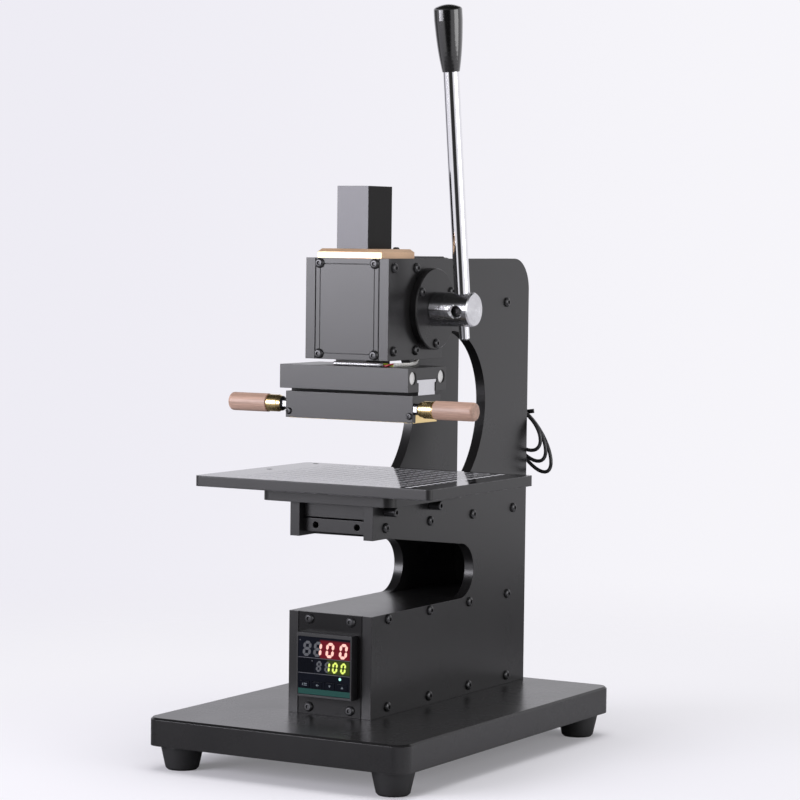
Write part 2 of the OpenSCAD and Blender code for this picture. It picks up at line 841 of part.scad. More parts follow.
// A torsion spring round the pinion shaft fills the space from the left plate to the pinion
spring_wire = 2.4;
spring_r = shaft_d / 2 + 3;
spring_leg = 12;
spring_room = inner_x - gear_w / 2 - 2 * slide - spring_wire;
spring_turns = floor(spring_room / (spring_wire + 0.4));
spring_x = -inner_x + slide + spring_wire / 2;
spring_path = concat([[spring_x, shaft_y + spring_r, shaft_z - spring_leg]],
    [for (k = [0:12 * spring_turns]) let (a = k * 30)
        [spring_x + spring_room * k / 12 / spring_turns, shaft_y + spring_r * cos(a),
            shaft_z + spring_r * sin(a)]]);

module return_spring() {
    color("silver") swept(spring_path, spring_wire, 8, [1, 0, 0]);
}

// Pinion and rack

function inv(a) = tan(a) - a * PI / 180;
// Half the tooth's angle at radius r, in degrees
function half_tooth(r) = let (a = acos(min(1, gear_r * cos(pressure_angle) / r)))
    90 / gear_teeth - backlash / 2 / gear_r * 90 / PI
    + (inv(pressure_angle) - inv(a)) * 180 / PI;
gear_root = gear_r - 1.25 * gear_m;
gear_tip = gear_r + gear_m - 0.2;
gear_flank = [for (i = [0:4]) let (b = gear_r * cos(pressure_angle))
    b + (gear_tip - b) * i / 4];

module pinion_outline() {
    polygon([for (t = [0:gear_teeth - 1]) let (c = 180 + t * 360 / gear_teeth)
        each concat(
            [[gear_root * cos(c - half_tooth(gear_flank[0])),
                gear_root * sin(c - half_tooth(gear_flank[0]))]],
            [for (r = gear_flank) [r * cos(c - half_tooth(r)), r * sin(c - half_tooth(r))]],
            [for (i = [4:-1:0]) let (r = gear_flank[i])
                [r * cos(c + half_tooth(r)), r * sin(c + half_tooth(r))]],
            [[gear_root * cos(c + half_tooth(gear_flank[0])),
                gear_root * sin(c + half_tooth(gear_flank[0]))]])]);
}

module pinion() {
    color("silver") translate([-gear_w / 2, shaft_y, shaft_z]) rotate([90, 0, 90])
        difference() {
            linear_extrude(gear_w) pinion_outline();
            translate([0, 0, -1]) cylinder(h = gear_w + 2, d = shaft_d + 2 * run);
        }
}

// One space between two rack teeth, drawn with the depth along x
module rack_space() {
    t = tan(pressure_angle);
    mid = gear_pitch / 4 + backlash / 4;
    deep = 1.25 * gear_m;
    top = mid + gear_m * t;
    low = mid - deep * t;
    out = 1;
    polygon([[-gear_m - deep, -low], [-gear_m - deep, low], [0, top], [out, top], [out, -top],
        [0, -top]]);
}

// The rack lies in a channel of the column's rear face, between two plain cheeks
module ram_column() {
    rack_w = gear_w + 2;
    spaces = ceil(stroke / gear_pitch) + 2;
    color([0.62, 0.62, 0.64]) difference() {
        block(col_w, col_d, col_top - head_bottom + head_gap, ram_y - col_d / 2,
            head_bottom - head_gap);
        for (i = [-2:spaces])
            translate([-rack_w / 2, ram_y + col_d / 2, shaft_z + i * gear_pitch])
            rotate([90, 0, 90]) linear_extrude(rack_w) rack_space();
    }
}

// The plate that keeps the block's heat from the column, screwed through from below
module ram_foot_plate() {
    hole_d = 5.4;
    color([0.2, 0.18, 0.16]) difference() {
        block(col_w - 2 * seat, col_d - 2 * seat, foot_plate_t, ram_y - col_d / 2 + seat,
            foot_plate_z);
        for (y = [-1, 1]) translate([0, ram_y + y * col_d / 4, foot_plate_z - 1])
            cylinder(h = foot_plate_t + 2, d = hole_d);
    }
}

// Heating block

module heating_block() {
    color([0.42, 0.42, 0.44]) difference() {
        block(heat_w, heat_d, heat_h, ram_y - heat_d / 2, heat_z);
        // the T slot that carries the mould holder's rail
        block(heat_w + 2, rail_web_w + 2 * slide, rail_drop, ram_y - rail_web_w / 2 - slide,
            heat_z - 1);
        block(heat_w + 2, rail_flange_w + 2 * slide, rail_flange_h + 2 * slide,
            ram_y - rail_flange_w / 2 - slide, rail_top - rail_flange_h - slide);
        for (s = [-1, 1]) translate([-heat_w / 2 - 1, ram_y + s * heater_pitch / 2, heater_z()])
            along_x(1) cylinder(h = heat_w + 2, d = heater_d + 2 * seat);
    }
}

function heater_z() = heat_z + heat_h - 7.5;

module cartridge_heaters() {
    color("silver") for (s = [-1, 1])
        translate([1.5 - heat_w / 2, ram_y + s * heater_pitch / 2, heater_z()])
        along_x(1) cylinder(h = heat_w - 3, d = heater_d);
}

// The probe's braided lead lies on the block in front of the column. A white sleeve takes
// over from it, turns back and rises between the side plates behind the shaft.
wire_d = 3;
probe_route = [[-10, 0, 0], [1, 0, 0], [12, 0.2, 0], [20, 0, 0], [26, 0.6, 0], [31, 2.2, 0],
    [35.5, 4.3, 0]];
sleeve_route = [[36, 4.5, 0], [39, 7.2, 0], [41, 12, 0], [41, 20, 0], [37, 31, 0], [33, 41, 0],
    [29, 50, 0.2], [25, 58, 1], [22, 66, 3.4], [20.5, 72, 9], [20, 74.5, 18], [20, 75, 30],
    [20, 75, 44], [20, 75, 60]];
wire_y = ram_y - col_d / 2 - wire_d / 2 - 1.5;
wire_z = heat_z + heat_h + wire_d / 2 + 0.1;

module probe_lead() {
    color("silver") {
        wire(probe_route, [0, 0, 1]);
        translate([probe_route[0][0] - 3, wire_y, wire_z])
            along_x(1) cylinder(h = 4, d = wire_d + 0.2);
    }
}

module heater_sleeve() {
    color("white") wire(sleeve_route, [1, 0.3, 0]);
}

module wire(route, ref) {
    swept([for (p = smooth(route, 2)) p + [0, wire_y, wire_z]], wire_d, 8, ref);
}

// Mould holder

module slide_rail() {
    color("silver") {
        block(mould_w, rail_web_w, rail_top - rail_flange_h - mould_top,
            ram_y - rail_web_w / 2, mould_top);
        block(mould_w, rail_flange_w, rail_flange_h, ram_y - rail_flange_w / 2,
            rail_top - rail_flange_h);
    }
}

module mould_holder() {
    color([0.4, 0.4, 0.42]) difference() {
        block(mould_w, mould_d, mould_h, ram_y - mould_d / 2, mould_z);
        block(mould_w + 2, die_w + 2 * seat, die_h - die_proud + seat + 1,
            ram_y - die_w / 2 - seat, mould_z - 1);
        for (s = [-1, 1]) translate([s * (mould_w / 2 - stud_grip - 1), stud_y, stud_z])
            along_x(s) cylinder(h = stud_grip + 2, d = stud_d + 2 * seat);
    }
}

module brass_die() {
    color([0.85, 0.70, 0.35]) block(mould_w, die_w, die_h, ram_y - die_w / 2, die_z);
}

module die_screws() {
    color("gray") for (s = [-1, 1])
        translate([s * die_screw_x, ram_y - mould_d / 2, mould_z + 4.8])
        along_y(1) button_head(5.2);
}

// A stud with its nut on each side
module handle_studs() {
    color("silver") for (s = [-1, 1]) translate([s * mould_w / 2, stud_y, stud_z]) along_x(s) {
        translate([0, 0, -stud_grip])
            cylinder(h = stud_grip + handle_x + handle_bore - mould_w / 2, d = stud_d);
        cylinder(h = nut_l, d = nut_d, $fn = 6);
    }
}

// A tapered collar between each nut and its ferrule
module handle_collars() {
    color("black") for (s = [-1, 1]) translate([s * collar_x, stud_y, stud_z]) along_x(s)
        rotate_extrude() polygon([[stud_d / 2 + seat, 0], [handle_d * 0.3, 0],
            [handle_d * 0.4, 1.6], [handle_d * 0.43, collar_l], [stud_d / 2 + seat, collar_l]]);
}

module handle_ferrules() {
    r = handle_d * 0.465;
    color([0.85, 0.70, 0.35]) for (s = [-1, 1])
        translate([s * ferrule_x, stud_y, stud_z]) along_x(s) rotate_extrude()
        polygon([[stud_d / 2 + seat, 0], [r - 0.4, 0], [r, 0.4],
            [r, ferrule_l - groove_l], [r - 0.5, ferrule_l - groove_l], [r - 0.5, ferrule_l],
            [stud_d / 2 + seat, ferrule_l]]);
}

// A turned wooden handle, drawn along +Z from its ferrule
module wood_handle(dir) {
    r = handle_d / 2;
    round_r = 2.5;
    color([0.80, 0.62, 0.52]) translate([dir * handle_x, stud_y, stud_z]) along_x(dir)
        difference() {
            rotate_extrude() union() {
                polygon([[0, 0], [r - 0.5, 0], [r, 0.5], [r, handle_l - round_r],
                    [r - round_r, handle_l], [0, handle_l]]);
                translate([r - round_r, handle_l - round_r]) intersection() {
                    circle(r = round_r);
                    square(round_r);
                }
            }
            translate([0, 0, -1]) cylinder(h = handle_bore + 1.2, d = stud_d + 2 * seat);
        }
}

// Lever

module pinion_shaft() {
    left = outer_x + flange_t + 10;
    right = outer_x + flange_t + hub_l - rod_inset - rod_d / 2 - 3;
    color("silver") translate([-left, shaft_y, shaft_z])
        along_x(1) cylinder(h = left + right, d = shaft_d);
}

module lever_hub() {
    hub_x = outer_x + flange_t + slide;
    rod_x = outer_x + flange_t + hub_l - rod_inset;
    color([0.7, 0.7, 0.72]) translate([0, shaft_y, shaft_z]) difference() {
        union() {
            translate([hub_x, 0, 0]) along_x(1)
                cylinder(h = hub_l - slide - 1, d = hub_d);
            translate([hub_x + hub_l - slide - 1, 0, 0]) along_x(1)
                cylinder(h = 1, d1 = hub_d, d2 = hub_d - 2);
        }
        along_x(1) cylinder(h = rod_x - rod_d / 2 - 3, d = shaft_d + 2 * run);
        // bore and flat seat of the rod
        translate([rod_x, 0, 0]) rotate([lever_lean, 0, 0]) {
            cylinder(h = hub_d * 2, d = rod_spigot_d + 2 * run, center = true);
            translate([0, 0, hub_d / 2 - 0.6]) cylinder(h = 5, d = rod_d + 0.4);
        }
        // the spare hole, a quarter turn further round
        translate([rod_x, 0, 0]) rotate([lever_lean + 90, 0, 0]) {
            translate([0, 0, rod_spigot_d]) cylinder(h = hub_d, d = rod_spigot_d + 2 * run);
            translate([0, 0, hub_d / 2 - 1.6]) cylinder(h = 2, d1 = rod_spigot_d, d2 = 13);
        }
    }
}

module at_lever() {
    translate([outer_x + flange_t + hub_l - rod_inset, shaft_y, shaft_z])
        rotate([lever_lean, 0, 0]) children();
}

module lever_rod() {
    color("silver") at_lever() {
        translate([0, 0, hub_d / 2 - 0.6])
            cylinder(h = lever_l - grip_l + 20 - hub_d / 2 + 0.6, d = rod_d);
        translate([0, 0, -hub_d / 2 - 9]) cylinder(h = hub_d + 9 - 0.6, d = rod_spigot_d);
        translate([0, 0, -hub_d / 2 - 10])
            cylinder(h = 1, d1 = rod_spigot_d - 2, d2 = rod_spigot_d);
    }
}

// The grip's outline from its neck to its crown, as a cubic curve and a low dome
grip_curve = [[6.6, 0], [8.4, 10], [grip_d / 2 - 1, 18], [grip_d / 2, grip_l * 0.76]];
function cubic(p, t) = pow(1 - t, 3) * p[0] + 3 * t * pow(1 - t, 2) * p[1]
    + 3 * t * t * (1 - t) * p[2] + pow(t, 3) * p[3];

module lever_grip() {
    r = grip_d / 2;
    edge = grip_l - 2.6;
    color([0.08, 0.08, 0.08]) at_lever() translate([0, 0, lever_l - grip_l]) difference() {
        rotate_extrude() polygon(concat([[0, 0]], [for (i = [0:10]) cubic(grip_curve, i / 10)],
            [[r, edge - 1.4], [r - 0.4, edge - 0.4], [r - 1.3, edge + 0.4]],
            [for (i = [1:6]) let (u = 1 - i / 6)
                [(r - 1.3) * u, edge + 0.4 + 2.2 * (1 - u * u)]]));
        translate([0, 0, -1]) cylinder(h = 21.2, d = rod_d + 2 * run);
    }
}

// Collar that keeps the shaft from moving sideways
module shaft_collar() {
    color("gray") translate([-(outer_x + flange_t + slide), shaft_y, shaft_z])
        along_x(-1) difference() {
            union() {
                cylinder(h = 8, d = hub_d);
                translate([0, 0, 8]) cylinder(h = 1, d1 = hub_d, d2 = hub_d - 2);
            }
            translate([0, 0, -1]) cylinder(h = 12, d = shaft_d + 2 * run);
            translate([0, 0, 4]) rotate([90, 0, 0]) cylinder(h = hub_d, d = 4);
        }
}

// Table

module table_plate() {
    color([0.45, 0.45, 0.47]) difference() {
        translate([0, table_y0 + table_d / 2, carrier_top])
            rounded_plate(table_w, table_d, table_t, table_corner_r);
        for (x = [-1, 1], y = [-1, 1])
            translate([x * fence_x / 2, table_y0 + table_d - fence_back + (y - 1) * fence_y / 2,
                carrier_top - 1])
            cylinder(h = table_t + 2, d = fence_hole_d);
    }
}

module table_carrier() {
    color([0.5, 0.5, 0.52]) translate([0, carrier_y0 + carrier_d / 2, carrier_z])
        rounded_plate(carrier_w, carrier_d, carrier_t, carrier_corner_r);
}

// The rail under the carrier runs between the side plates
module table_rail() {
    color([0.5, 0.5, 0.52])
        block(frame_gap - 2 * slide, rail_d, carrier_z - rail_z, frame_y0 + bed_set, rail_z);
}

// A lock screw presses on the rail through the right side plate
module lock_screw(i) {
    color([0.1, 0.1, 0.1])
        translate([0, bed_screw_y0 + i * bed_screw_pitch, lock_screw_z]) {
            translate([inner_x, 0, 0]) along_x(1) cylinder(h = plate_t + 1, d = 5);
            translate([outer_x + slide, 0, 0]) along_x(1) cap_head(7, lock_screw_l);
        }
}

base_plate();
rubber_feet();
side_plate(-1);  // left_side_plate
side_plate(1);  // right_side_plate
console_bottom_plate();
console_top_cover();
console_front_panel();
rear_cover();
bed_plate();
upper_guide_block();
lower_guide_block();
head_front_cover();
head_top_cover();
rear_spacer();
bearing_flange(1);  // bearing_flange_right
bearing_flange(-1);  // bearing_flange_left
return_spring();
side_screws();
flange_screws();
panel_screws();
controller_case();
controller_bezel();
controller_window();
key(0);  // key_set
key(1);  // key_shift
key(2);  // key_down
key(3);  // key_up
switch_housing();
switch_rocker();
power_inlet();
lead_gland();
heater_lead();
lead_tie();
ram_column();
ram_foot_plate();
heating_block();
cartridge_heaters();
probe_lead();
heater_sleeve();
slide_rail();
mould_holder();
brass_die();
die_screws();
handle_studs();
handle_collars();
handle_ferrules();
wood_handle(-1);  // handle_left
wood_handle(1);  // handle_right
pinion_shaft();
pinion();
lever_hub();
lever_rod();
lever_grip();
shaft_collar();
table_plate();
table_carrier();
table_rail();
lock_screw(0);  // lock_screw_front
lock_screw(1);  // lock_screw_rear
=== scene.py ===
"""Finishes, display, leads and studio for a bench hot foil stamping machine."""

import math

import bmesh
import bpy
from bpy.props import FloatProperty, FloatVectorProperty, IntProperty, PointerProperty
from mathutils import Matrix, Vector


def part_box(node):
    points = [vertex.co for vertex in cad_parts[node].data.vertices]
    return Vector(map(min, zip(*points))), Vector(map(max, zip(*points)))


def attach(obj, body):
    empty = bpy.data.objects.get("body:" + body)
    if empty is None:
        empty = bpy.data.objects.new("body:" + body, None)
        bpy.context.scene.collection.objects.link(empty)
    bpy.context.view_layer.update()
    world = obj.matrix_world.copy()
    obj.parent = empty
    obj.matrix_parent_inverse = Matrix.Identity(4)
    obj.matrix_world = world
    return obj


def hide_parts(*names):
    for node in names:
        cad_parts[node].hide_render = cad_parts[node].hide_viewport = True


bl_info = {
    "name": "Foil Stamping Machine",
    "version": (1, 0, 0),
    "blender": (4, 5, 0),
    "location": "3D Viewport > Sidebar > Stamping",
    "description": "Dresses a bench hot foil stamping machine and its studio",
    "category": "Object",
}

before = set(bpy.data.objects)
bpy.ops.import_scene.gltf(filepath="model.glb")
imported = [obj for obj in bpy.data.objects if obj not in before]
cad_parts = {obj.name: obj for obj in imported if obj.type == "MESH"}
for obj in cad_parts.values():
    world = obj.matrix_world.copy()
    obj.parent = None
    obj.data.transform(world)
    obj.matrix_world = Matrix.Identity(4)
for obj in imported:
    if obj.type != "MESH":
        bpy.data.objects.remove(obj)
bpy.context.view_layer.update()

MM = 0.001


def turning_axis(node):
    """(y, z) of the axis along X that a CAD node is turned about."""
    low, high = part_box(node)
    return (low.y + high.y) / 2, (low.z + high.z) / 2


SHAFT_AXIS = turning_axis("pinion_shaft")
HANDLE_AXIS = turning_axis("handle_right")
BASE_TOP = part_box("base_plate")[1].z
TABLE_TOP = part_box("table_plate")[1].z
WINDOW_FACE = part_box("controller_window")[0].y
BEZEL_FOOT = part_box("controller_bezel")[0].z
BLOCK_LOW, BLOCK_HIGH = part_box("heating_block")


# Shader building


class Signal:
    """An output socket of a finish, usable in plain arithmetic."""

    def __init__(self, finish, socket):
        self.finish = finish
        self.socket = socket

    def other(self, name):
        """Another output of the same node."""
        return Signal(self.finish, self.socket.node.outputs[name])

    def __add__(self, other):
        return self.finish.math("ADD", self, other)

    def __radd__(self, other):
        return self.finish.math("ADD", other, self)

    def __sub__(self, other):
        return self.finish.math("SUBTRACT", self, other)

    def __rsub__(self, other):
        return self.finish.math("SUBTRACT", other, self)

    def __mul__(self, other):
        return self.finish.math("MULTIPLY", self, other)

    def __rmul__(self, other):
        return self.finish.math("MULTIPLY", other, self)

    def __truediv__(self, other):
        return self.finish.math("DIVIDE", self, other)


class Finish:
    """One procedural material, built node by node."""

    def __init__(self, name):
        self.material = bpy.data.materials.new(name)
        self.material.use_nodes = True
        self.tree = self.material.node_tree
        self.tree.nodes.clear()

    def node(self, kind, settings=None, sockets=None, output=0):
        """Adds a node: its settings first, then the values or links of its sockets."""
        made = self.tree.nodes.new(kind)
        for name, value in (settings or {}).items():
            setattr(made, name, value)
        for name, value in (sockets or {}).items():
            if isinstance(value, Signal):
                self.tree.links.new(value.socket, made.inputs[name])
            else:
                made.inputs[name].default_value = value
        return Signal(self, made.outputs[output]) if made.outputs else None

    def place(self):
        """Object coordinates, which are the machine's own frame."""
        return self.node("ShaderNodeTexCoord", output="Object")

    def run(self):
        """The way along and round a lead, which its mesh holds."""
        return self.node("ShaderNodeAttribute", {"attribute_name": "run"}, output="Vector")

    def normal(self):
        return self.node("ShaderNodeNewGeometry", output="Normal")

    def parts(self, vector):
        x = self.node("ShaderNodeSeparateXYZ", {}, {0: vector})
        return x, x.other("Y"), x.other("Z")

    def vector(self, x, y, z):
        return self.node("ShaderNodeCombineXYZ", {}, {"X": x, "Y": y, "Z": z})

    def math(self, operation, first, second=0.0):
        return self.node("ShaderNodeMath", {"operation": operation}, {0: first, 1: second})

    def vector_math(self, operation, first, second, output=0):
        sockets = {0: first, 1: second}
        return self.node("ShaderNodeVectorMath", {"operation": operation}, sockets, output)

    def noise(self, vector, scale, detail=2.0, roughness=0.5):
        sockets = {"Vector": vector, "Scale": scale, "Detail": detail, "Roughness": roughness}
        return self.node("ShaderNodeTexNoise", {}, sockets)

    def drawn_noise(self, vector, scale, detail=2.0, roughness=0.5):
        """Noise with its own scale along each axis."""
        return self.noise(self.vector_math("MULTIPLY", vector, scale), 1.0, detail, roughness)

    def ramp(self, value, low, high):
        """0 below low, 1 above high and smooth between."""
        sockets = {"Value": value, "From Min": low, "From Max": high}
        return self.node("ShaderNodeMapRange", {"interpolation_type": "SMOOTHSTEP"}, sockets)

    def mix(self, share, first, second):
        sockets = {0: share, 6: first, 7: second}
        return self.node("ShaderNodeMix", {"data_type": "RGBA"}, sockets, output=2)

    def shades(self, share, colour, low, high):
        """A colour between low and high times its brightness."""
        return self.mix(share, rgba(colour, low), rgba(colour, high))

    def rounded(self, radius):
        """Normals of the surface with its edges eased by radius."""
        return self.node("ShaderNodeBevel", {"samples": 4}, {"Radius": radius})

    def worn_and_highlit_edge(self, rounded, at, scale, low):
        """1 on the eased edges where noise is above low, 0 on the faces: a mask for rubbing and
        painted highlight.
        """
        alike = self.vector_math("DOT_PRODUCT", rounded, self.normal(), "Value")
        edge = self.ramp(1.0 - alike, 0.01, 0.25)
        return edge * self.ramp(self.noise(at, scale, 4.0), low, 0.7)

    def recess_shade(self, reach, low, high):
        """1 deep in hollows of the piece itself and 0 on its open faces: a mask for painted
        shade.
        """
        settings = {"samples": 8, "only_local": True}
        sockets = {"Distance": reach}
        open_share = self.node("ShaderNodeAmbientOcclusion", settings, sockets, "AO")
        return self.ramp(1.0 - open_share, low, high)

    def bump(self, height, distance, strength=1.0, normal=None):
        sockets = {"Height": height, "Distance": distance, "Strength": strength}
        if normal is not None:
            sockets["Normal"] = normal
        return self.node("ShaderNodeBump", {}, sockets)

    def surface(self, **values):
        """Ends the finish in a Principled surface and returns the material."""
        sockets = {name.replace("_", " "): value for name, value in values.items()}
        shader = self.node("ShaderNodeBsdfPrincipled", {}, sockets)
        self.node("ShaderNodeOutputMaterial", {}, {"Surface": shader})
        return self.material


def rgba(colour, gain=1.0):
    return tuple(min(1.0, part * gain) for part in colour[:3]) + (1.0,)


def turning(finish, at, axis):
    """The way along an axis that runs along X through (y, z), and away from it."""
    x, y, z = finish.parts(at)
    across = y - axis[0]
    above = z - axis[1]
    return x, finish.math("SQRT", across * across + above * above)


def lathe_lines(finish, at, axis, pitch):
    """The way along an axis, and lines round it that are rings on its end faces."""
    along, radius = turning(finish, at, axis)
    return along, finish.noise(finish.vector(along / pitch, radius / pitch, 0.0), 1.0, 3.0, 0.7)


# Finishes; scales of noise are in cycles per metre, reliefs and radii in metres

BLAST_GRAIN = 2600.0
FINE_RELIEF = 0.000006
TOOL_RELIEF = 0.000012
LATHE_PITCH = 0.0005
# Pale colours on eased edges, partly rubbing and partly painted highlight
EDGE_WEAR_AND_HIGHLIGHT = (0.16, 0.16, 0.165, 1.0)
# Pale colour of the table's eased edges, partly rubbing and mostly painted highlight
TABLE_EDGE_WEAR_AND_HIGHLIGHT = (0.30, 0.30, 0.31, 1.0)


def anodised_metal(name, colour, roughness=0.28, shine=0.43, wear_and_highlight=0.3):
    """Black anodised plate: bead-blast grain, faint clouds, and pale edges from rubbing and
    painted highlight.
    """
    finish = Finish(name)
    at = finish.place()
    cloud = finish.noise(at, 22.0, 3.0)
    grain = finish.noise(at, BLAST_GRAIN)
    eased = finish.rounded(0.0005)
    worn_and_highlit = finish.worn_and_highlit_edge(eased, at, 160.0, 0.35)
    tone = finish.shades(cloud, colour, 0.86, 1.16)
    return finish.surface(
        # Edges take a pale colour, partly rubbing and partly painted highlight.
        Base_Color=finish.mix(worn_and_highlit * wear_and_highlight, tone, EDGE_WEAR_AND_HIGHLIGHT),
        Roughness=roughness - 0.04 + 0.06 * cloud + 0.03 * grain,
        Specular_IOR_Level=shine,
        Normal=finish.bump(grain, FINE_RELIEF, 0.5, eased),
    )


def table_metal(name, colour, top):
    """Anodised plate whose top is polished until it mirrors what stands round it."""
    finish = Finish(name)
    at = finish.place()
    cloud = finish.noise(at, 30.0, 3.0)
    grain = finish.noise(at, BLAST_GRAIN)
    eased = finish.rounded(0.0011)
    polished = finish.ramp(finish.parts(finish.normal())[2], 0.9, 0.99)
    worn_and_highlit = finish.worn_and_highlit_edge(eased, at, 120.0, 0.3)
    tone = finish.mix(polished, rgba(colour), rgba(top))
    return finish.surface(
        # The table's edges take a pale colour, partly rubbing and mostly painted highlight.
        Base_Color=finish.mix(worn_and_highlit * 0.7, tone, TABLE_EDGE_WEAR_AND_HIGHLIGHT),
        Roughness=0.28 - 0.22 * polished + 0.03 * cloud,
        Specular_IOR_Level=0.45,
        Normal=finish.bump(grain * (1.0 - 0.95 * polished), FINE_RELIEF, 0.5, eased),
    )


def two_faced(name, axis, colours, metallic, roughness, scale):
    """The first values on the faces across an axis (0, 1 or 2), the second elsewhere."""
    finish = Finish(name)
    lines = finish.drawn_noise(finish.place(), scale, 3.0, 0.6)
    across = finish.math("ABSOLUTE", finish.parts(finish.normal())[axis])
    share = finish.ramp(across, 0.8, 0.95)
    first = finish.shades(lines, colours[0], 0.85, 1.12)
    second = finish.shades(lines, colours[1], 0.8, 1.2)
    return finish.surface(
        Base_Color=finish.mix(share, second, first),
        Metallic=metallic[1] + (metallic[0] - metallic[1]) * share,
        Roughness=roughness[1] + (roughness[0] - roughness[1]) * share + 0.05 * lines,
        Normal=finish.bump(lines, FINE_RELIEF, 0.5, finish.rounded(0.0003)),
    )


def brushed_metal(name, colour, roughness, scale, metallic=1.0):
    """Machined metal whose fine lines run along the axis of the smallest scale."""
    finish = Finish(name)
    at = finish.place()
    lines = finish.drawn_noise(at, scale, 3.0, 0.6)
    cloud = finish.noise(at, 40.0, 3.0)
    tone = finish.shades(lines, colour, 0.82, 1.14)
    return finish.surface(
        Base_Color=finish.mix(cloud * 0.25, tone, rgba(colour, 0.7)),
        Metallic=metallic,
        Roughness=roughness - 0.06 + 0.12 * lines + 0.05 * cloud,
        Normal=finish.bump(lines, TOOL_RELIEF, 0.6, finish.rounded(0.0004)),
    )


def turned_metal(
    name, colour, roughness, axis, pitch=LATHE_PITCH, relief=TOOL_RELIEF, bore_shade=0.0
):
    """Metal turned about an axis along X, with painted shade darkening its holes up to the given
    width.
    """
    finish = Finish(name)
    at = finish.place()
    lines = lathe_lines(finish, at, axis, pitch)[1]
    cloud = finish.noise(at, 60.0, 3.0)
    tone = finish.shades(lines, colour, 0.85, 1.12)
    tone = finish.mix(cloud * 0.2, tone, rgba(colour, 0.7))
    if bore_shade:
        # Painted shade darkens the inside of the hole.
        tone = finish.mix(finish.recess_shade(bore_shade, 0.25, 0.5), tone, rgba(colour, 0.06))
    return finish.surface(
        Base_Color=tone,
        Metallic=1.0,
        Roughness=roughness - 0.04 + 0.08 * lines,
        Normal=finish.bump(lines, relief, 0.7, finish.rounded(0.0004)),
    )


def tipped_collar(name, tip, band, start):
    """Turned collars: a bright band beyond start along X, a blackened taper before."""
    finish = Finish(name)
    along, lines = lathe_lines(finish, finish.place(), HANDLE_AXIS, LATHE_PITCH)
    bright = finish.ramp(finish.math("ABSOLUTE", along), start, start + 0.1 * MM)
    first = finish.shades(lines, tip, 0.8, 1.25)
    second = finish.shades(lines, band, 0.85, 1.12)
    return finish.surface(
        Base_Color=finish.mix(bright, first, second),
        Metallic=bright,
        Roughness=0.3 - 0.07 * bright + 0.08 * lines,
        Normal=finish.bump(lines, TOOL_RELIEF, 0.7, finish.rounded(0.0003)),
    )


def polished_metal(name, colour, roughness):
    """Chrome plate with faint polishing haze."""
    finish = Finish(name)
    at = finish.place()
    haze = finish.noise(at, 90.0, 4.0)
    specks = finish.ramp(finish.noise(at, 900.0, 3.0), 0.62, 0.75)
    return finish.surface(
        Base_Color=finish.shades(specks * 0.3, colour, 1.0, 0.6),
        Metallic=1.0,
        Roughness=roughness + 0.06 * haze,
        Normal=finish.bump(haze, 0.00001, 0.2),
    )


def socket_screw(name, colour):
    """Black oxide screw, satin on its head, its socket painted near black and dull as shade."""
    finish = Finish(name)
    grain = finish.noise(finish.place(), 1800.0)
    # Painted shade: the socket goes near black and loses its metal sheen.
    deep = finish.recess_shade(0.0025, 0.35, 0.6)
    return finish.surface(
        Base_Color=finish.mix(deep, rgba(colour), (0.004, 0.004, 0.004, 1.0)),
        Metallic=0.6 - 0.6 * deep,
        Roughness=0.25 + 0.08 * grain + 0.4 * deep,
        Normal=finish.bump(grain, 0.000008, 0.4, finish.rounded(0.0002)),
    )


def moulded_plastic(name, colour, roughness, relief=0.00001, coat=0.0, shine=0.5):
    """Moulded plastic or rubber with a fine spark-eroded skin."""
    finish = Finish(name)
    at = finish.place()
    skin = finish.noise(at, 1500.0, 3.0)
    cloud = finish.noise(at, 50.0, 3.0)
    return finish.surface(
        Base_Color=finish.shades(cloud, colour, 0.8, 1.25),
        Roughness=roughness - 0.04 + 0.08 * skin,
        Specular_IOR_Level=shine,
        Coat_Weight=coat,
        Coat_Roughness=0.12,
        Normal=finish.bump(skin, relief, 0.5, finish.rounded(0.0004)),
    )


def turned_wood(name, colour, axis):
    """Beech turned about an axis along X, with short rays and a thin lacquer."""
    finish = Finish(name)
    at = finish.place()
    along, radius = turning(finish, at, axis)
    pith = (axis[0] - 4 * MM, axis[1] + 9 * MM)
    grain = finish.drawn_noise(at, (22.0, 420.0, 420.0), 4.0, 0.65)
    rays = finish.ramp(finish.drawn_noise(at, (260.0, 2400.0, 2400.0)), 0.6, 0.78)
    rings = turning(finish, at, pith)[1] * 5200.0 + 3.0 * grain
    growth = finish.math("SINE", rings) * 0.5 + 0.5
    tone = finish.shades(finish.ramp(grain, 0.34, 0.66), colour, 0.74, 1.16)
    tone = finish.mix(0.42 * growth, tone, rgba(colour, 0.68))
    cuts = finish.math("SINE", along * 9000.0 + radius * 7000.0)
    return finish.surface(
        Base_Color=finish.mix(0.6 * rays, tone, (0.30, 0.16, 0.10, 1.0)),
        Roughness=0.46 + 0.12 * grain,
        Coat_Weight=0.18,
        Coat_Roughness=0.25,
        Normal=finish.bump(grain * 0.8 + cuts * 0.06 + rays * 0.4, 0.00004, 0.7),
    )


def woven_sleeve(name, colour, gap_shade, metallic, roughness):
    """Braid over a lead, of eight strands each way, with painted shade in the gaps between
    strands.
    """
    finish = Finish(name)
    along, round_it = finish.parts(finish.run())[:2]
    lay = along * 1500.0
    wind = round_it * (8 * math.tau)
    left = finish.math("SINE", lay + wind)
    right = finish.math("SINE", lay - wind)
    weave = finish.ramp(finish.math("MAXIMUM", left, right), -0.2, 0.9)
    fuzz = finish.noise(finish.place(), 2500.0)
    # Painted shade darkens the gaps of the weave.
    tone = finish.mix(weave, rgba(gap_shade), rgba(colour))
    return finish.surface(
        Base_Color=finish.mix(fuzz * 0.3, tone, rgba(colour, 0.75)),
        Metallic=metallic,
        Roughness=roughness + 0.1 * fuzz,
        Normal=finish.bump(weave + fuzz * 0.3, 0.00012, 0.8),
    )


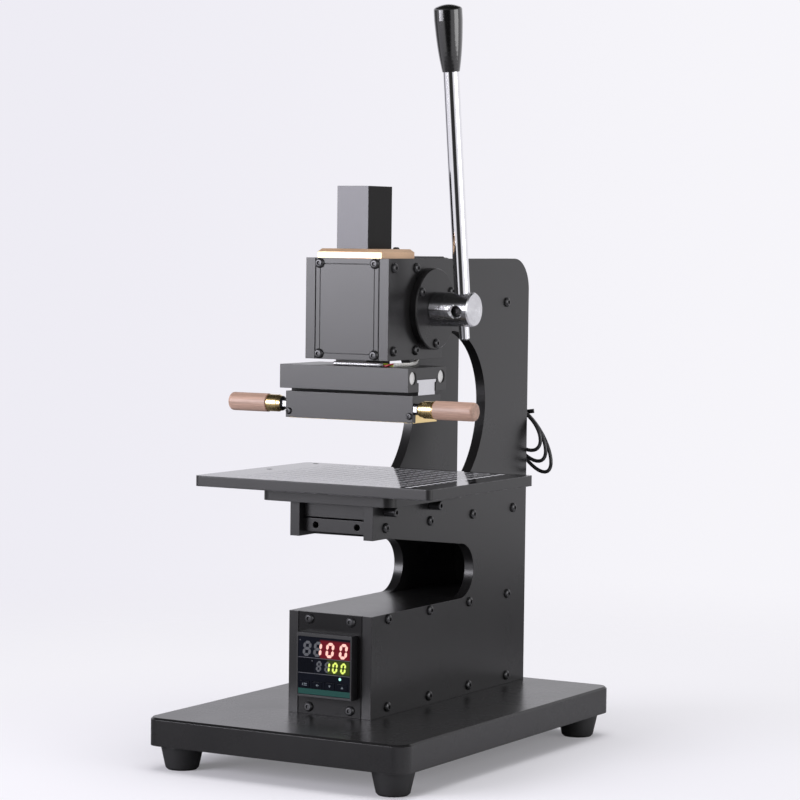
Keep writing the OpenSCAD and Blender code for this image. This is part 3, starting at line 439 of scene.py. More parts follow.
def lead_jacket(name, colour):
    """Smooth extruded jacket with faint drawing marks and scuffs."""
    finish = Finish(name)
    marks = finish.drawn_noise(finish.run(), (60.0, 14.0, 1.0), 3.0)
    scuff = finish.ramp(finish.noise(finish.place(), 240.0, 4.0), 0.55, 0.8)
    tone = finish.shades(marks, colour, 0.8, 1.3)
    return finish.surface(
        Base_Color=finish.mix(scuff * 0.3, tone, (0.09, 0.09, 0.09, 1.0)),
        Roughness=0.22 + 0.15 * scuff + 0.05 * marks,
        Normal=finish.bump(marks, 0.00003, 0.5),
    )


def lit_display(name, colour):
    """A lit figure or lamp, very slightly uneven."""
    finish = Finish(name)
    speck = finish.noise(finish.place(), 3000.0, 1.0)
    return finish.surface(
        Base_Color=rgba(colour, 0.2),
        Roughness=0.5,
        Emission_Color=finish.shades(speck, colour, 1.0, 1.1),
        Emission_Strength=1.0,
    )


def printed_ink(name, colour, roughness=0.5, shine=0.5):
    """Printed or engraved mark with slightly uneven ink."""
    finish = Finish(name)
    patch = finish.noise(finish.place(), 900.0, 3.0)
    return finish.surface(
        Base_Color=finish.shades(patch, colour, 0.7, 1.15),
        Roughness=roughness + 0.1 * patch,
        Specular_IOR_Level=shine,
    )


# Shapes


def new_piece(name, mesh, material, body, stands_for=()):
    piece = bpy.data.objects.new(name, mesh)
    bpy.context.scene.collection.objects.link(piece)
    piece.data.materials.clear()
    piece.data.materials.append(material)
    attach(piece, body)
    if stands_for:
        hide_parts(*stands_for)
    return piece


def mesh_from(name, shape):
    """A mesh with what a bmesh holds."""
    mesh = bpy.data.meshes.new(name)
    shape.to_mesh(mesh)
    shape.free()
    return mesh


def eased_path(points, steps):
    """Catmull-Rom line through the points with steps between each two."""
    points = [Vector(point) for point in points]
    ends = [2 * points[0] - points[1]] + points + [2 * points[-1] - points[-2]]
    line = []
    for before, start, end, after in zip(ends, ends[1:], ends[2:], ends[3:]):
        slope = end - before
        bend = 2 * before - 5 * start + 4 * end - after
        turn = 3 * start - before - 3 * end + after
        for t in (step / steps for step in range(steps)):
            line.append(0.5 * (2 * start + slope * t + bend * t * t + turn * t**3))
    return line + [points[-1]]


def run_length(points):
    return sum((b - a).length for a, b in zip(points, points[1:]))


def tube_rings(shape, points, radius, sides):
    """Rings of corners across a line, and the way along it to each ring."""
    tangent = (points[1] - points[0]).normalized()
    side = tangent.orthogonal().normalized()
    rings, ways, way = [], [], 0.0
    for index, point in enumerate(points):
        ahead = points[min(index + 1, len(points) - 1)]
        behind = points[max(index - 1, 0)]
        now = (ahead - behind).normalized()
        side = (tangent.rotation_difference(now) @ side).normalized()
        side = (side - now * side.dot(now)).normalized()
        up = now.cross(side)
        tangent = now
        if index:
            way += (point - points[index - 1]).length
        ways.append(way)
        ring = []
        for turn in (math.tau * k / sides for k in range(sides)):
            arm = radius * (math.cos(turn) * side + math.sin(turn) * up)
            ring.append(shape.verts.new(point + arm))
        rings.append(ring)
    return rings, ways


def tube_mesh(name, points, radius, sides=14):
    """Closed tube along points; its attribute run holds the way along and round it."""
    shape = bmesh.new()
    layer = shape.loops.layers.float_vector.new("run")
    rings, ways = tube_rings(shape, points, radius, sides)
    for near, far, start, end in zip(rings, rings[1:], ways, ways[1:]):
        for k in range(sides):
            after = (k + 1) % sides
            face = shape.faces.new((near[k], near[after], far[after], far[k]))
            face.smooth = True
            corners = ((start, k), (start, k + 1), (end, k + 1), (end, k))
            for loop, (along, turn) in zip(face.loops, corners):
                loop[layer] = Vector((along, turn / sides, 0.0))
    for ring, way in ((rings[0][::-1], 0.0), (rings[-1], ways[-1])):
        for loop in shape.faces.new(ring).loops:
            loop[layer] = Vector((way, 0.5, 0.0))
    bmesh.ops.recalc_face_normals(shape, faces=shape.faces)
    return mesh_from(name, shape)


ROOTED = 0.02 * MM


def raised(name, outlines, face, height):
    """Thin prisms over outlines of (x, z), rooted in a front face and height proud of it."""
    shape = bmesh.new()
    for outline in outlines:
        front = [shape.verts.new((x, face - height, z)) for x, z in outline]
        rear = [shape.verts.new((x, face + ROOTED, z)) for x, z in outline]
        shape.faces.new(front)
        shape.faces.new(rear[::-1])
        for k in range(len(outline)):
            after = (k + 1) % len(outline)
            shape.faces.new((front[k], rear[k], rear[after], front[after]))
    bmesh.ops.recalc_face_normals(shape, faces=shape.faces)
    return mesh_from(name, shape)


# Geometry Nodes


class Shaping(Finish):
    """A Geometry Nodes tree with named inputs, built as a finish is and run once."""

    def __init__(self, name, inputs):
        self.tree = bpy.data.node_groups.new(name, "GeometryNodeTree")
        self.tree.is_modifier = True
        face = self.tree.interface
        face.new_socket("Geometry", in_out="INPUT", socket_type="NodeSocketGeometry")
        self.values = {}
        for label, value in inputs.items():
            kind = "NodeSocketInt" if isinstance(value, int) else "NodeSocketFloat"
            socket = face.new_socket(label, in_out="INPUT", socket_type=kind)
            self.values[socket.identifier] = value
        face.new_socket("Geometry", in_out="OUTPUT", socket_type="NodeSocketGeometry")
        self.given = self.node("NodeGroupInput").other

    def finish(self, geometry, material):
        """Realises the instances, sets the material and returns a plain mesh."""
        real = self.node("GeometryNodeRealizeInstances", {}, {"Geometry": geometry})
        sockets = {"Geometry": real, "Material": material}
        dressed = self.node("GeometryNodeSetMaterial", {}, sockets)
        self.node("NodeGroupOutput", {}, {"Geometry": dressed})
        name = self.tree.name
        carrier = bpy.data.objects.new(name, bpy.data.meshes.new(name))
        bpy.context.scene.collection.objects.link(carrier)
        modifier = carrier.modifiers.new(name, "NODES")
        modifier.node_group = self.tree
        for identifier, value in self.values.items():
            modifier[identifier] = value
        evaluated = carrier.evaluated_get(bpy.context.evaluated_depsgraph_get())
        made = bpy.data.meshes.new_from_object(evaluated)
        bpy.data.objects.remove(carrier)
        return made


def ruled_lines(name, material, size, pitch, number, start, step_axis):
    """A row of equal bars, each one pitch from the last along X or Y."""
    inputs = dict(zip(("Width", "Depth", "Height"), size))
    shaping = Shaping(name, {**inputs, "Pitch": pitch, "Count": number})
    given = shaping.given
    size = shaping.vector(given("Width"), given("Depth"), given("Height"))
    bar = shaping.node("GeometryNodeMeshCube", {}, {"Size": size})
    step = shaping.node("ShaderNodeCombineXYZ", {}, {step_axis: given("Pitch")})
    line = {"Count": given("Count"), "Start Location": start, "Offset": step}
    row = shaping.node("GeometryNodeMeshLine", {"mode": "OFFSET"}, line)
    bars = shaping.node("GeometryNodeInstanceOnPoints", {}, {"Points": row, "Instance": bar})
    return shaping.finish(bars, material)


# Settings


def tint(name, description, *default):
    return FloatVectorProperty(
        name=name, description=description, subtype="COLOR", size=3, min=0, max=1, default=default
    )


def length(name, description, low, high, default):
    return FloatProperty(
        name=name, description=description, unit="LENGTH", min=low, max=high, default=default
    )


def count(name, description, default):
    return IntProperty(name=name, description=description, min=1, max=60, default=default)


def level(name, description, high, default):
    return FloatProperty(name=name, description=description, min=0, max=high, default=default)


class FinishSettings(bpy.types.PropertyGroup):
    """Colours of the machine's metals, wood and plastics."""

    anodised: tint("Anodised metal", "Colour of the black anodised plates", 0.01, 0.0097, 0.01)
    table_top: tint("Table top", "Colour of the polished table top", 0.012, 0.012, 0.013)
    bronze: tint("Bronze", "Colour of the ram's guide blocks", 0.78, 0.52, 0.33)
    steel: tint("Steel", "Colour of the turned and milled steel", 0.66, 0.66, 0.68)
    column: tint("Ram column", "Colour of the ram column's ground faces", 0.044, 0.042, 0.053)
    brass: tint("Brass", "Colour of the ferrules and the die", 0.86, 0.66, 0.32)
    wood: tint("Wood", "Colour of the turned handles", 0.46, 0.295, 0.225)
    plastic: tint("Plastic", "Colour of the black moulded parts", 0.007, 0.007, 0.008)
    rubber: tint("Rubber", "Colour of the feet", 0.012, 0.012, 0.0125)
    sleeve: tint("Sleeve", "Colour of the woven heater sleeve", 0.82, 0.81, 0.78)


class TableSettings(bpy.types.PropertyGroup):
    """Sizes of the ruled table top."""

    pitch: length("Grid pitch", "Distance between the engraved lines", 0.002, 0.05, 0.01)
    line: length("Line width", "Width of an engraved line", 0.0001, 0.002, 0.0008)
    mark: length(
        "Scale mark", "Length of a mark of the scale along the right edge", 0.0005, 0.01, 0.0055
    )
    columns: count("Lines across", "Lines that run from front to rear", 15)
    rows: count("Lines deep", "Lines that run from left to right", 15)


class DisplaySettings(bpy.types.PropertyGroup):
    """Colours and sizes of the temperature display."""

    window: tint("Window", "Colour of the smoked window", 0.0045, 0.0055, 0.0095)
    upper: tint("Upper figures", "Colour of the lit upper figures", 1.0, 0.5, 0.43)
    upper_glow: tint(
        "Upper glow", "Colour of the glow behind the upper figures", 0.14, 0.003, 0.007
    )
    lower: tint("Lower figures", "Colour of the lit lower figures", 0.68, 0.82, 0.12)
    lower_glow: tint(
        "Lower glow", "Colour of the glow behind the lower figures", 0.035, 0.05, 0.002
    )
    lamp: tint("Lamp", "Colour of the small output lamp", 0.4, 0.88, 0.8)
    strip: tint("Strip", "Colour of the strip under the keys", 0.004, 0.06, 0.048)
    upper_height: length("Upper height", "Height of the upper figures", 0.004, 0.02, 0.0115)
    lower_height: length("Lower height", "Height of the lower figures", 0.003, 0.015, 0.0082)


class LeadSettings(bpy.types.PropertyGroup):
    """Size and colour of the heater lead."""

    diameter: length("Diameter", "Outer diameter of the heater lead", 0.002, 0.006, 0.003)
    colour: tint("Jacket", "Colour of the lead's jacket", 0.018, 0.018, 0.019)


class StudioSettings(bpy.types.PropertyGroup):
    """Floor, backdrop and lamps."""

    backdrop: tint("Backdrop", "Colour of the background on the right", 0.925, 0.915, 0.955)
    backdrop_left: tint(
        "Backdrop, left", "Colour of the background on the left", 0.855, 0.842, 0.905
    )
    softbox: level(
        "Softbox", "Brightness of the softbox in front on the left, where 1 is white", 30, 8.6
    )
    fill: level("Fill", "Brightness of the large lamp on the right, where 1 is white", 30, 2.2)
    top: level("Top", "Brightness of the large lamp above, where 1 is white", 30, 2.2)
    mirrored_floor: level(
        "Floor in gloss", "Share of the floor's colour that gloss shows", 1, 0.2
    )
    even: level("Even light", "Strength of the even light from all round", 2, 0.36)


# The heater lead; its points are in millimetres above the base plate

LEAD_OVER = (
    (20, 13.3, 315), (19, 40, 316), (18, 68, 317), (18, 94, 317), (18, 112, 317.2),
    (18, 124, 317.2), (18, 134, 313), (18, 141, 301), (18, 146, 283), (18, 150, 263),
    (18, 154, 247), (17.5, 158, 233),
)
LEAD_DOWN = (
    (20, 173, 185), (19, 175, 173), (16, 178, 157), (13, 180, 137), (11, 180, 115),
    (11, 180, 93), (12, 178, 75), (14, 174, 64), (16, 169, 60),
)
LEAD_END = Vector((16, 164.5, 60))
COIL_CENTRE = Vector((29, 160, 205))
COIL_STEPS = 12
COIL_POINTS = 3 * COIL_STEPS + 3
TIE_ANGLE = 130


def coil_point(t):
    """A point of the slack coil, t turns from the tie."""
    angle = math.radians(TIE_ANGLE + 360 * t)
    hang = t * (1 - math.cos(math.tau * t)) / 2
    x = 15 * math.cos(angle) - 2.5 * math.sin(angle) + 3.5 * hang
    z = 14.5 * math.sin(angle) - 3 * math.cos(angle) - 9 * hang
    return COIL_CENTRE + Vector((x, 3.6 * t, z))


def lead_route():
    """The lead's way in metres, from the head to the gland."""
    coil = [coil_point(k / COIL_STEPS) for k in range(COIL_POINTS)]
    points = eased_path(LEAD_OVER, 2) + coil + eased_path(LEAD_DOWN, 2) + [LEAD_END]
    return [point * MM + Vector((0, 0, BASE_TOP)) for point in points]


class STAMPING_OT_lead(bpy.types.Operator):
    """Lays the heater lead from the head to the rear gland, with its tied coil"""

    bl_idname = "stamping.lead"
    bl_label = "Lay heater lead"

    def execute(self, context):
        settings = context.scene.stamping_lead
        route = eased_path(lead_route(), 3)
        lead = new_piece(
            "heater_lead_jacket",
            tube_mesh("heater_lead_jacket", route, settings.diameter / 2),
            lead_jacket("heater lead jacket", settings.colour),
            "frame",
            ["heater_lead"],
        )
        run_length(route)
        return {"FINISHED"}


# The heating block's leads; their points are in millimetres from WIRE_START

WIRE_START = Vector((0, BLOCK_LOW.y + 8 * MM, BLOCK_HIGH.z + 1.6 * MM))
PROBE_ROUTE = (
    (-13, 0, 0), (-10, 0, 0), (1, 0, 0), (12, 0.2, 0), (20, 0, 0), (26, 0.6, 0), (29, 1.4, 0),
)
SLEEVE_ROUTE = (
    (36, 4.5, 0), (39, 7.2, 0), (41, 12, 0), (41, 20, 0), (37, 31, 0), (33, 41, 0),
    (29, 50, 0.2), (25, 58, 1), (22, 66, 3.4), (20.5, 72, 9), (20, 74.5, 18), (20, 75, 30),
    (20, 75, 44), (20, 75, 60),
)
TAIL_ROUTE = ((28, 1.1, 0), (31, 2.2, 0), (33.5, 3.3, 0), (36.5, 5, 0))
TAILS = (("green", (0.35, 0.42, 0.03), 0.4), ("red", (0.55, 0.06, 0.08), 0.4 + math.pi))
TAIL_TURNS = 0.75
TAIL_REACH = 0.7 * MM
TAIL_RADIUS = 0.6 * MM
BRAID_RADIUS = 1.5 * MM
BRAID_STEEL = (0.62, 0.62, 0.63)
# Painted shade in the gaps between the braids' strands
STEEL_GAP_SHADE = (0.1, 0.1, 0.1)
SLEEVE_GAP_SHADE = (0.45, 0.44, 0.42)


def wire_line(route):
    return eased_path([Vector(point) * MM + WIRE_START for point in route], 6)


def twisted(line, phase):
    """A tail that winds round a line."""
    strand = []
    for index, point in enumerate(line):
        ahead = line[min(index + 1, len(line) - 1)] - line[max(index - 1, 0)]
        side = ahead.cross(Vector((0, 0, 1))).normalized()
        angle = phase + math.tau * TAIL_TURNS * index / (len(line) - 1)
        arm = math.cos(angle) * side + Vector((0, 0, math.sin(angle)))
        strand.append(point + TAIL_REACH * arm)
    return strand


class STAMPING_OT_heater_wires(bpy.types.Operator):
    """Braids the probe lead and the white sleeve on the heating block"""

    bl_idname = "stamping.heater_wires"
    bl_label = "Braid heater wires"

    def execute(self, context):
        white = context.scene.stamping_finishes.sleeve
        steel_braid = woven_sleeve("steel overbraid", BRAID_STEEL, STEEL_GAP_SHADE, 0.9, 0.3)
        glass_braid = woven_sleeve("glass fibre sleeve", white, SLEEVE_GAP_SHADE, 0.0, 0.75)
        for node, route, material, slot in (
            ("probe_lead", PROBE_ROUTE, steel_braid, "turned_steel"),
            ("heater_sleeve", SLEEVE_ROUTE, glass_braid, "sleeve_fabric"),
        ):
            name = node + "_braid"
            mesh = tube_mesh(name, wire_line(route), BRAID_RADIUS, 16)
            new_piece(name, mesh, material, "ram", [node])
        for shade, colour, phase in TAILS:
            name = "probe_wire_" + shade
            mesh = tube_mesh(name, twisted(wire_line(TAIL_ROUTE), phase), TAIL_RADIUS, 10)
            skin = moulded_plastic("probe wire " + shade, colour, 0.35, 0.000004)
            new_piece(name, mesh, skin, "ram")
        return {"FINISHED"}


# The CAD's own solids

COLUMN_SIDE = (0.012, 0.0115, 0.011)
RAIL_SIDE = (0.008, 0.008, 0.008)
HEATER_END = (0.9, 0.9, 0.89)
STUD_STEEL = (0.36, 0.36, 0.37)
CHROME = (0.82, 0.82, 0.84)
BLACK_OXIDE = (0.05, 0.05, 0.052)
GLOSS_BLACK = (0.003, 0.003, 0.003)
LAMINATE = (0.02, 0.018, 0.016)
HUB_PITCH = 0.0003
HUB_RELIEF = 0.0003
# Width of hole that takes painted shade inside
HUB_BORE_SHADE = 0.012
BAND_START = 0.0605


def assign(material, nodes):
    """Gives CAD nodes, named in one string, their finish."""
    for name in nodes.split():
        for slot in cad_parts[name].material_slots:
            slot.material = material


class STAMPING_OT_anodise(bpy.types.Operator):
    """Anodises the base, the frame's plates, the heating block and the mould holder"""

    bl_idname = "stamping.anodise"
    bl_label = "Anodise plates"

    def execute(self, context):
        settings = context.scene.stamping_finishes
        black = settings.anodised
        assign(
            anodised_metal("anodised plate", black),
            "left_side_plate right_side_plate console_bottom_plate console_top_cover"
            " rear_cover bed_plate head_front_cover head_top_cover table_carrier table_rail",
        )
        assign(anodised_metal("anodised panel", black, 0.26, 0.16), "console_front_panel")
        assign(anodised_metal("anodised base", black, 0.27), "base_plate")
        flange = anodised_metal("anodised flange", black, 0.28, 0.36)
        assign(flange, "bearing_flange_right bearing_flange_left")
        block = anodised_metal("anodised head block", black, 0.28, 0.5, 0.2)
        assign(block, "heating_block mould_holder")
        assign(table_metal("polished table", black, settings.table_top), "table_plate")
        return {"FINISHED"}


class STAMPING_OT_machine_metal(bpy.types.Operator):
    """Finishes the bronze, the steel, the chrome, the brass and the screws"""

    bl_idname = "stamping.machine_metal"
    bl_label = "Finish bright metal"

    def execute(self, context):
        settings = context.scene.stamping_finishes
        steel = settings.steel
        brass = settings.brass
        bronze = brushed_metal("machined bronze", settings.bronze, 0.36, (60, 900, 900), 0.55)
        assign(bronze, "upper_guide_block lower_guide_block")
        for name, node, axis, colours, metallic, roughness, scale in (
            (
                "ground column", "ram_column", 1, (settings.column, COLUMN_SIDE),
                (0.0, 1.0), (0.28, 0.45), (1500, 1500, 40),
            ),
            (
                "milled rail", "slide_rail", 0, (steel, RAIL_SIDE),
                (1.0, 0.0), (0.3, 0.7), (60, 1500, 1500),
            ),
            (
                "cartridge heaters", "cartridge_heaters", 0, (HEATER_END, steel),
                (0.0, 1.0), (0.5, 0.3), (900, 900, 900),
            ),
        ):
            assign(two_faced(name, axis, colours, metallic, roughness, scale), node)
        cut = brushed_metal("cut steel", steel, 0.3, (1500, 60, 1500))
        assign(cut, "pinion return_spring")
        hub = (0.13, SHAFT_AXIS, HUB_PITCH, HUB_RELIEF, HUB_BORE_SHADE)
        turned = turned_metal("turned hub", steel, *hub)
        assign(turned, "lever_hub shaft_collar pinion_shaft rear_spacer")
        assign(turned_metal("turned studs", STUD_STEEL, 0.34, HANDLE_AXIS), "handle_studs")
        assign(polished_metal("chromed rod", CHROME, 0.05), "lever_rod")
        assign(turned_metal("turned brass", brass, 0.27, HANDLE_AXIS), "handle_ferrules")
        assign(brushed_metal("milled brass", brass, 0.3, (60, 1500, 1500)), "brass_die")
        assign(
            socket_screw("oxide screws", BLACK_OXIDE),
            "side_screws flange_screws panel_screws die_screws lock_screw_front lock_screw_rear",
        )
        return {"FINISHED"}


class STAMPING_OT_handles(bpy.types.Operator):
    """Finishes the wooden handles, their collars and the lever's grip"""

    bl_idname = "stamping.handles"
    bl_label = "Finish handles"

    def execute(self, context):
        settings = context.scene.stamping_finishes
        beech = turned_wood("turned beech", settings.wood, HANDLE_AXIS)
        assign(beech, "handle_left handle_right")
        collar = tipped_collar("tipped collar", settings.plastic, settings.brass, BAND_START)
        assign(collar, "handle_collars")
        grip = moulded_plastic("gloss grip", GLOSS_BLACK, 0.14, 0.000003, coat=1.0)
        assign(grip, "lever_grip")
        return {"FINISHED"}


class STAMPING_OT_mouldings(bpy.types.Operator):
    """Finishes the feet, the controller's body, the rear fittings and the laminate"""

    bl_idname = "stamping.mouldings"
    bl_label = "Finish mouldings"

    def execute(self, context):
        settings = context.scene.stamping_finishes
        assign(moulded_plastic("foot rubber", settings.rubber, 0.55, 0.00003), "rubber_feet")
        assign(moulded_plastic("dark laminate", LAMINATE, 0.5, 0.00002), "ram_foot_plate")
        assign(
            moulded_plastic("black moulding", settings.plastic, 0.36),
            "controller_case controller_bezel switch_housing switch_rocker power_inlet"
            " lead_gland lead_tie",
        )
        return {"FINISHED"}


# The display; its places are in millimetres from its middle and above the bezel's foot

SEGMENTS = {
    "a": ((0, 2), (1, 2)),
    "b": ((1, 1), (1, 2)),
    "c": ((1, 0), (1, 1)),
    "d": ((0, 0), (1, 0)),
    "e": ((0, 0), (0, 1)),
    "f": ((0, 1), (0, 2)),
    "g": ((0, 1), (1, 1)),
}
LIT = {"0": "abcdef", "1": "bc", "8": "abcdefg", " ": ""}
FIGURES = " 100"
FIGURE_SLANT = 0.12
STROKE_SHARE = 0.19
SEGMENT_GAP = 0.08
# Foot of the figures, their width and their left edges
FIGURE_ROWS = {
    "upper": (30.5, 7.0, (-19.2, -9.9, 0.8, 12.4)),
    "lower": (19.4, 4.6, (-7.4, 0.0, 6.6, 13.8)),
}
# Left, right, foot, top and soft rim: the two glows and the darker corner
WINDOW_AREAS = (
    (-2.6, 21.4, 30.6, 42.2, 2.0),
    (3.6, 21.4, 19.4, 28.0, 1.6),
    (-22, -9, 18, 29.2, 0.3),
)
OUTPUT_LAMP = (13.9, 15.3)
UNLIT_LAMPS = ((-21.2, 42.3), (-10.5, 27.3))
PRINT_LEFT = -22.6
PRINT_WIDTH = 45.2
RULE_FEET = (29.2, 17.55)
RULE_HEIGHT = 0.5
STRIP_FOOT = 2.0
STRIP_HEIGHT = 4.2
UNLIT = (0.062, 0.066, 0.075)
RULE_GREY = (0.055, 0.056, 0.066)


def between(finish, value, low, high, soft):
    """1 between low and high and 0 outside, fading out over soft."""
    rise = finish.ramp(value, low - soft, low)
    return rise * (1.0 - finish.ramp(value, high, high + soft))


def within(finish, at, area):
    """1 inside an area of the display and 0 outside."""
    x, _, z = finish.parts(at)
    left, right, foot, top, soft = (value * MM for value in area)
    share = between(finish, x, left, right, soft)
    return share * between(finish, z, BEZEL_FOOT + foot, BEZEL_FOOT + top, soft)


def smoked_window(name, settings):
    """Dark smoked window with the figures' glow spread behind it."""
    finish = Finish(name)
    at = finish.place()
    haze = finish.noise(at, 120.0, 3.0)
    upper, lower, corner = (within(finish, at, area) for area in WINDOW_AREAS)
    glow = finish.mix(upper, (0.0, 0.0, 0.0, 1.0), rgba(settings.upper_glow))
    glow = finish.mix(lower, glow, rgba(settings.lower_glow))
    tone = finish.shades(haze, settings.window, 0.8, 1.3)
    return finish.surface(
        Base_Color=finish.mix(corner, tone, rgba(settings.window, 0.6)),
        Roughness=0.09 + 0.04 * haze,
        Specular_IOR_Level=0.16,
        Emission_Color=glow,
        Emission_Strength=1.0,
    )


def digit_segments(left, foot, width, height, names):
    """Outlines of a slanted figure's segments, each a bar with pointed ends."""
    stroke = height * STROKE_SHARE
    outlines = []
    for name in names:
        (x0, z0), (x1, z1) = SEGMENTS[name]
        start = Vector((x0 * (width - stroke), z0 * (height - stroke) / 2))
        end = Vector((x1 * (width - stroke), z1 * (height - stroke) / 2))
        along = (end - start).normalized()
        across = Vector((-along.y, along.x)) * stroke / 2
        start = start + along * stroke * SEGMENT_GAP
        end = end - along * stroke * SEGMENT_GAP
        low = start + along * stroke / 2
        high = end - along * stroke / 2
        outline = []
        for p in (start, low - across, high - across, end, high + across, low + across):
            lean = FIGURE_SLANT * (p.y + stroke / 2)
            outline.append((left + stroke / 2 + p.x + lean, foot + stroke / 2 + p.y))
        outlines.append(outline)
    return outlines


def bar_outline(left, foot, width, height):
    low = BEZEL_FOOT + foot * MM
    high = low + height * MM
    right = (left + width) * MM
    return [(left * MM, low), (right, low), (right, high), (left * MM, high)]


def circle_outline(x, height, radius, corners):
    outline = []
    for turn in (math.tau * k / corners for k in range(corners)):
        rise = height + radius * math.sin(turn)
        outline.append(((x + radius * math.cos(turn)) * MM, BEZEL_FOOT + rise * MM))
    return outline


def on_window(name, outlines, material, height):
    """A printed or lit piece that stands height proud of the window, in millimetres."""
    mesh = raised(name, outlines, WINDOW_FACE, height * MM)
    new_piece(name, mesh, material, "frame")


class STAMPING_OT_display(bpy.types.Operator):
    """Fits the window, the figures, the lamps, the rules and the strip"""

    bl_idname = "stamping.display"
    bl_label = "Fit display"

    def execute(self, context):
        settings = context.scene.stamping_display
        assign(smoked_window("smoked window", settings), "controller_window")
        ghost = printed_ink("unlit segments", UNLIT, 0.4)
        for row, (foot, width, lefts) in FIGURE_ROWS.items():
            height = getattr(settings, row + "_height")
            lit, unlit = [], []
            for figure, left in zip(FIGURES, lefts):
                place = (left * MM, BEZEL_FOOT + foot * MM, width * MM, height)
                lit += digit_segments(*place, LIT[figure])
                if figure != "0":
                    rest = [part for part in LIT["8"] if part not in LIT[figure]]
                    unlit += digit_segments(*place, rest)
            ink = lit_display("lit %s figures" % row, getattr(settings, row))
            on_window(row + "_figures_lit", lit, ink, 0.04)
            on_window(row + "_figures_unlit", unlit, ghost, 0.03)
        lamp = lit_display("lit lamp", settings.lamp)
        on_window("output_lamp", [circle_outline(*OUTPUT_LAMP, 1.1, 20)], lamp, 0.05)
        dots = [circle_outline(*place, 0.5, 12) for place in UNLIT_LAMPS]
        on_window("unlit_lamps", dots, ghost, 0.03)
        rules = [bar_outline(PRINT_LEFT, foot, PRINT_WIDTH, RULE_HEIGHT) for foot in RULE_FEET]
        on_window("window_rules", rules, printed_ink("grey print", RULE_GREY), 0.02)
        strip = [bar_outline(PRINT_LEFT, STRIP_FOOT, PRINT_WIDTH, STRIP_HEIGHT)]
        green = printed_ink("green print", settings.strip, 0.4, 0.2)
        on_window("lower_strip", strip, green, 0.02)
        return {"FINISHED"}


KEY_SLATE = (0.004, 0.005, 0.009)
KEY_PRINT = (0.16, 0.19, 0.21)
# Each key's body, and its mark in millimetres from the key's middle
KEY_MARKS = {
    "key_set": (
        "set_key",
        (
            ((-2.0, -0.9), (-1.5, -0.9), (-1.5, 0.9), (-2.0, 0.9)),
            ((-0.7, -0.9), (2.0, -0.9), (2.0, -0.4), (-0.7, -0.4)),
            ((-0.7, 0.4), (2.0, 0.4), (2.0, 0.9), (-0.7, 0.9)),
        ),
    ),
    "key_shift": (
        "shift_key",
        (
            ((-1.2, 0.0), (0.4, -0.9), (0.4, 0.9)),
            ((0.7, -0.2), (1.6, -0.2), (1.6, 0.2), (0.7, 0.2)),
        ),
    ),
    "key_down": ("down_key", (((0.0, -0.8), (1.0, 0.8), (-1.0, 0.8)),)),
    "key_up": ("up_key", (((-1.0, -0.8), (1.0, -0.8), (0.0, 0.8)),)),
}


class STAMPING_OT_keys(bpy.types.Operator):
    """Finishes the four keys and prints a mark on each"""

    bl_idname = "stamping.keys"
    bl_label = "Print keys"

    def execute(self, context):
        slate = moulded_plastic("slate keys", KEY_SLATE, 0.12, shine=0.16)
        ink = printed_ink("key marks", KEY_PRINT)
        for key, (body, mark) in KEY_MARKS.items():
            assign(slate, key)
            low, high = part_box(key)
            middle = (low + high) / 2
            outlines = [
                [(middle.x + x * MM, middle.z + z * MM) for x, z in outline]
                for outline in mark
            ]
            mesh = raised(key + "_mark", outlines, low.y, 0.03 * MM)
            new_piece(key + "_mark", mesh, ink, body)
        return {"FINISHED"}


# The table's lines, in metres

GRID_FRONT = -0.108
SCALE_X = 0.079
SCALE_WIDTH = 0.005
LINE_HEIGHT = 0.06 * MM
LINE_LEVEL = TABLE_TOP + 0.01 * MM
LINE_GREY = (0.62, 0.62, 0.65)


class STAMPING_OT_table_lines(bpy.types.Operator):
    """Rules the table top with its grid and the scale beside it"""

    bl_idname = "stamping.table_lines"
    bl_label = "Rule table top"

    def execute(self, context):
        settings = context.scene.stamping_table
        ink = printed_ink("engraved line", LINE_GREY, 0.45)
        rows, columns, line = settings.rows, settings.columns, settings.line
        across = (columns - 1) * settings.pitch
        deep = (rows - 1) * settings.pitch
        middle = GRID_FRONT + deep / 2
        for name, width, depth, number, x, y, step_axis in (
            ("grid_rows", across, line, rows, 0.0, GRID_FRONT, "Y"),
            ("grid_columns", line, deep, columns, -across / 2, middle, "X"),
            ("scale_ticks", SCALE_WIDTH, settings.mark, rows, SCALE_X, GRID_FRONT, "Y"),
        ):
            size = (width, depth, LINE_HEIGHT)
            start = (x, y, LINE_LEVEL)
            mesh = ruled_lines(name, ink, size, settings.pitch, number, start, step_axis)
            new_piece(name, mesh, ink, "table")
        return {"FINISHED"}


# The studio

CAMERA_PLACE = (1.10776, -1.90422, 0.39779)
CAMERA_TURN = (30.011, 3.255, 0.697)
CAMERA_LENS = 129.1
FLOOR_NEAR = 0.45
FLOOR_REACH = 1.2
FLOOR_GLOW = 0.55
ROOM_TURN = math.radians(-70)
DARK_ROOM = (0.03, 0.03, 0.03, 1.0)
# Watts a square metre that look as bright as white paper
WHITE = 4
# Name, place, aim, size, colour, and whether gloss mirrors it
LAMPS = (
    ("softbox", (-1.0, -1.79, 0.7), (0, -0.06, 0.7), (1.3, 0.9), (0.94, 0.925, 1.0), True),
    ("fill lamp", (1.9, 0.2, 0.6), (0, 0, 0.4), (1.2, 1.0), (1, 1, 1), True),
    ("top lamp", (0.1, 0.1, 2.0), (0, 0, 0.2), (1.6, 1.6), (1, 1, 1), False),
)


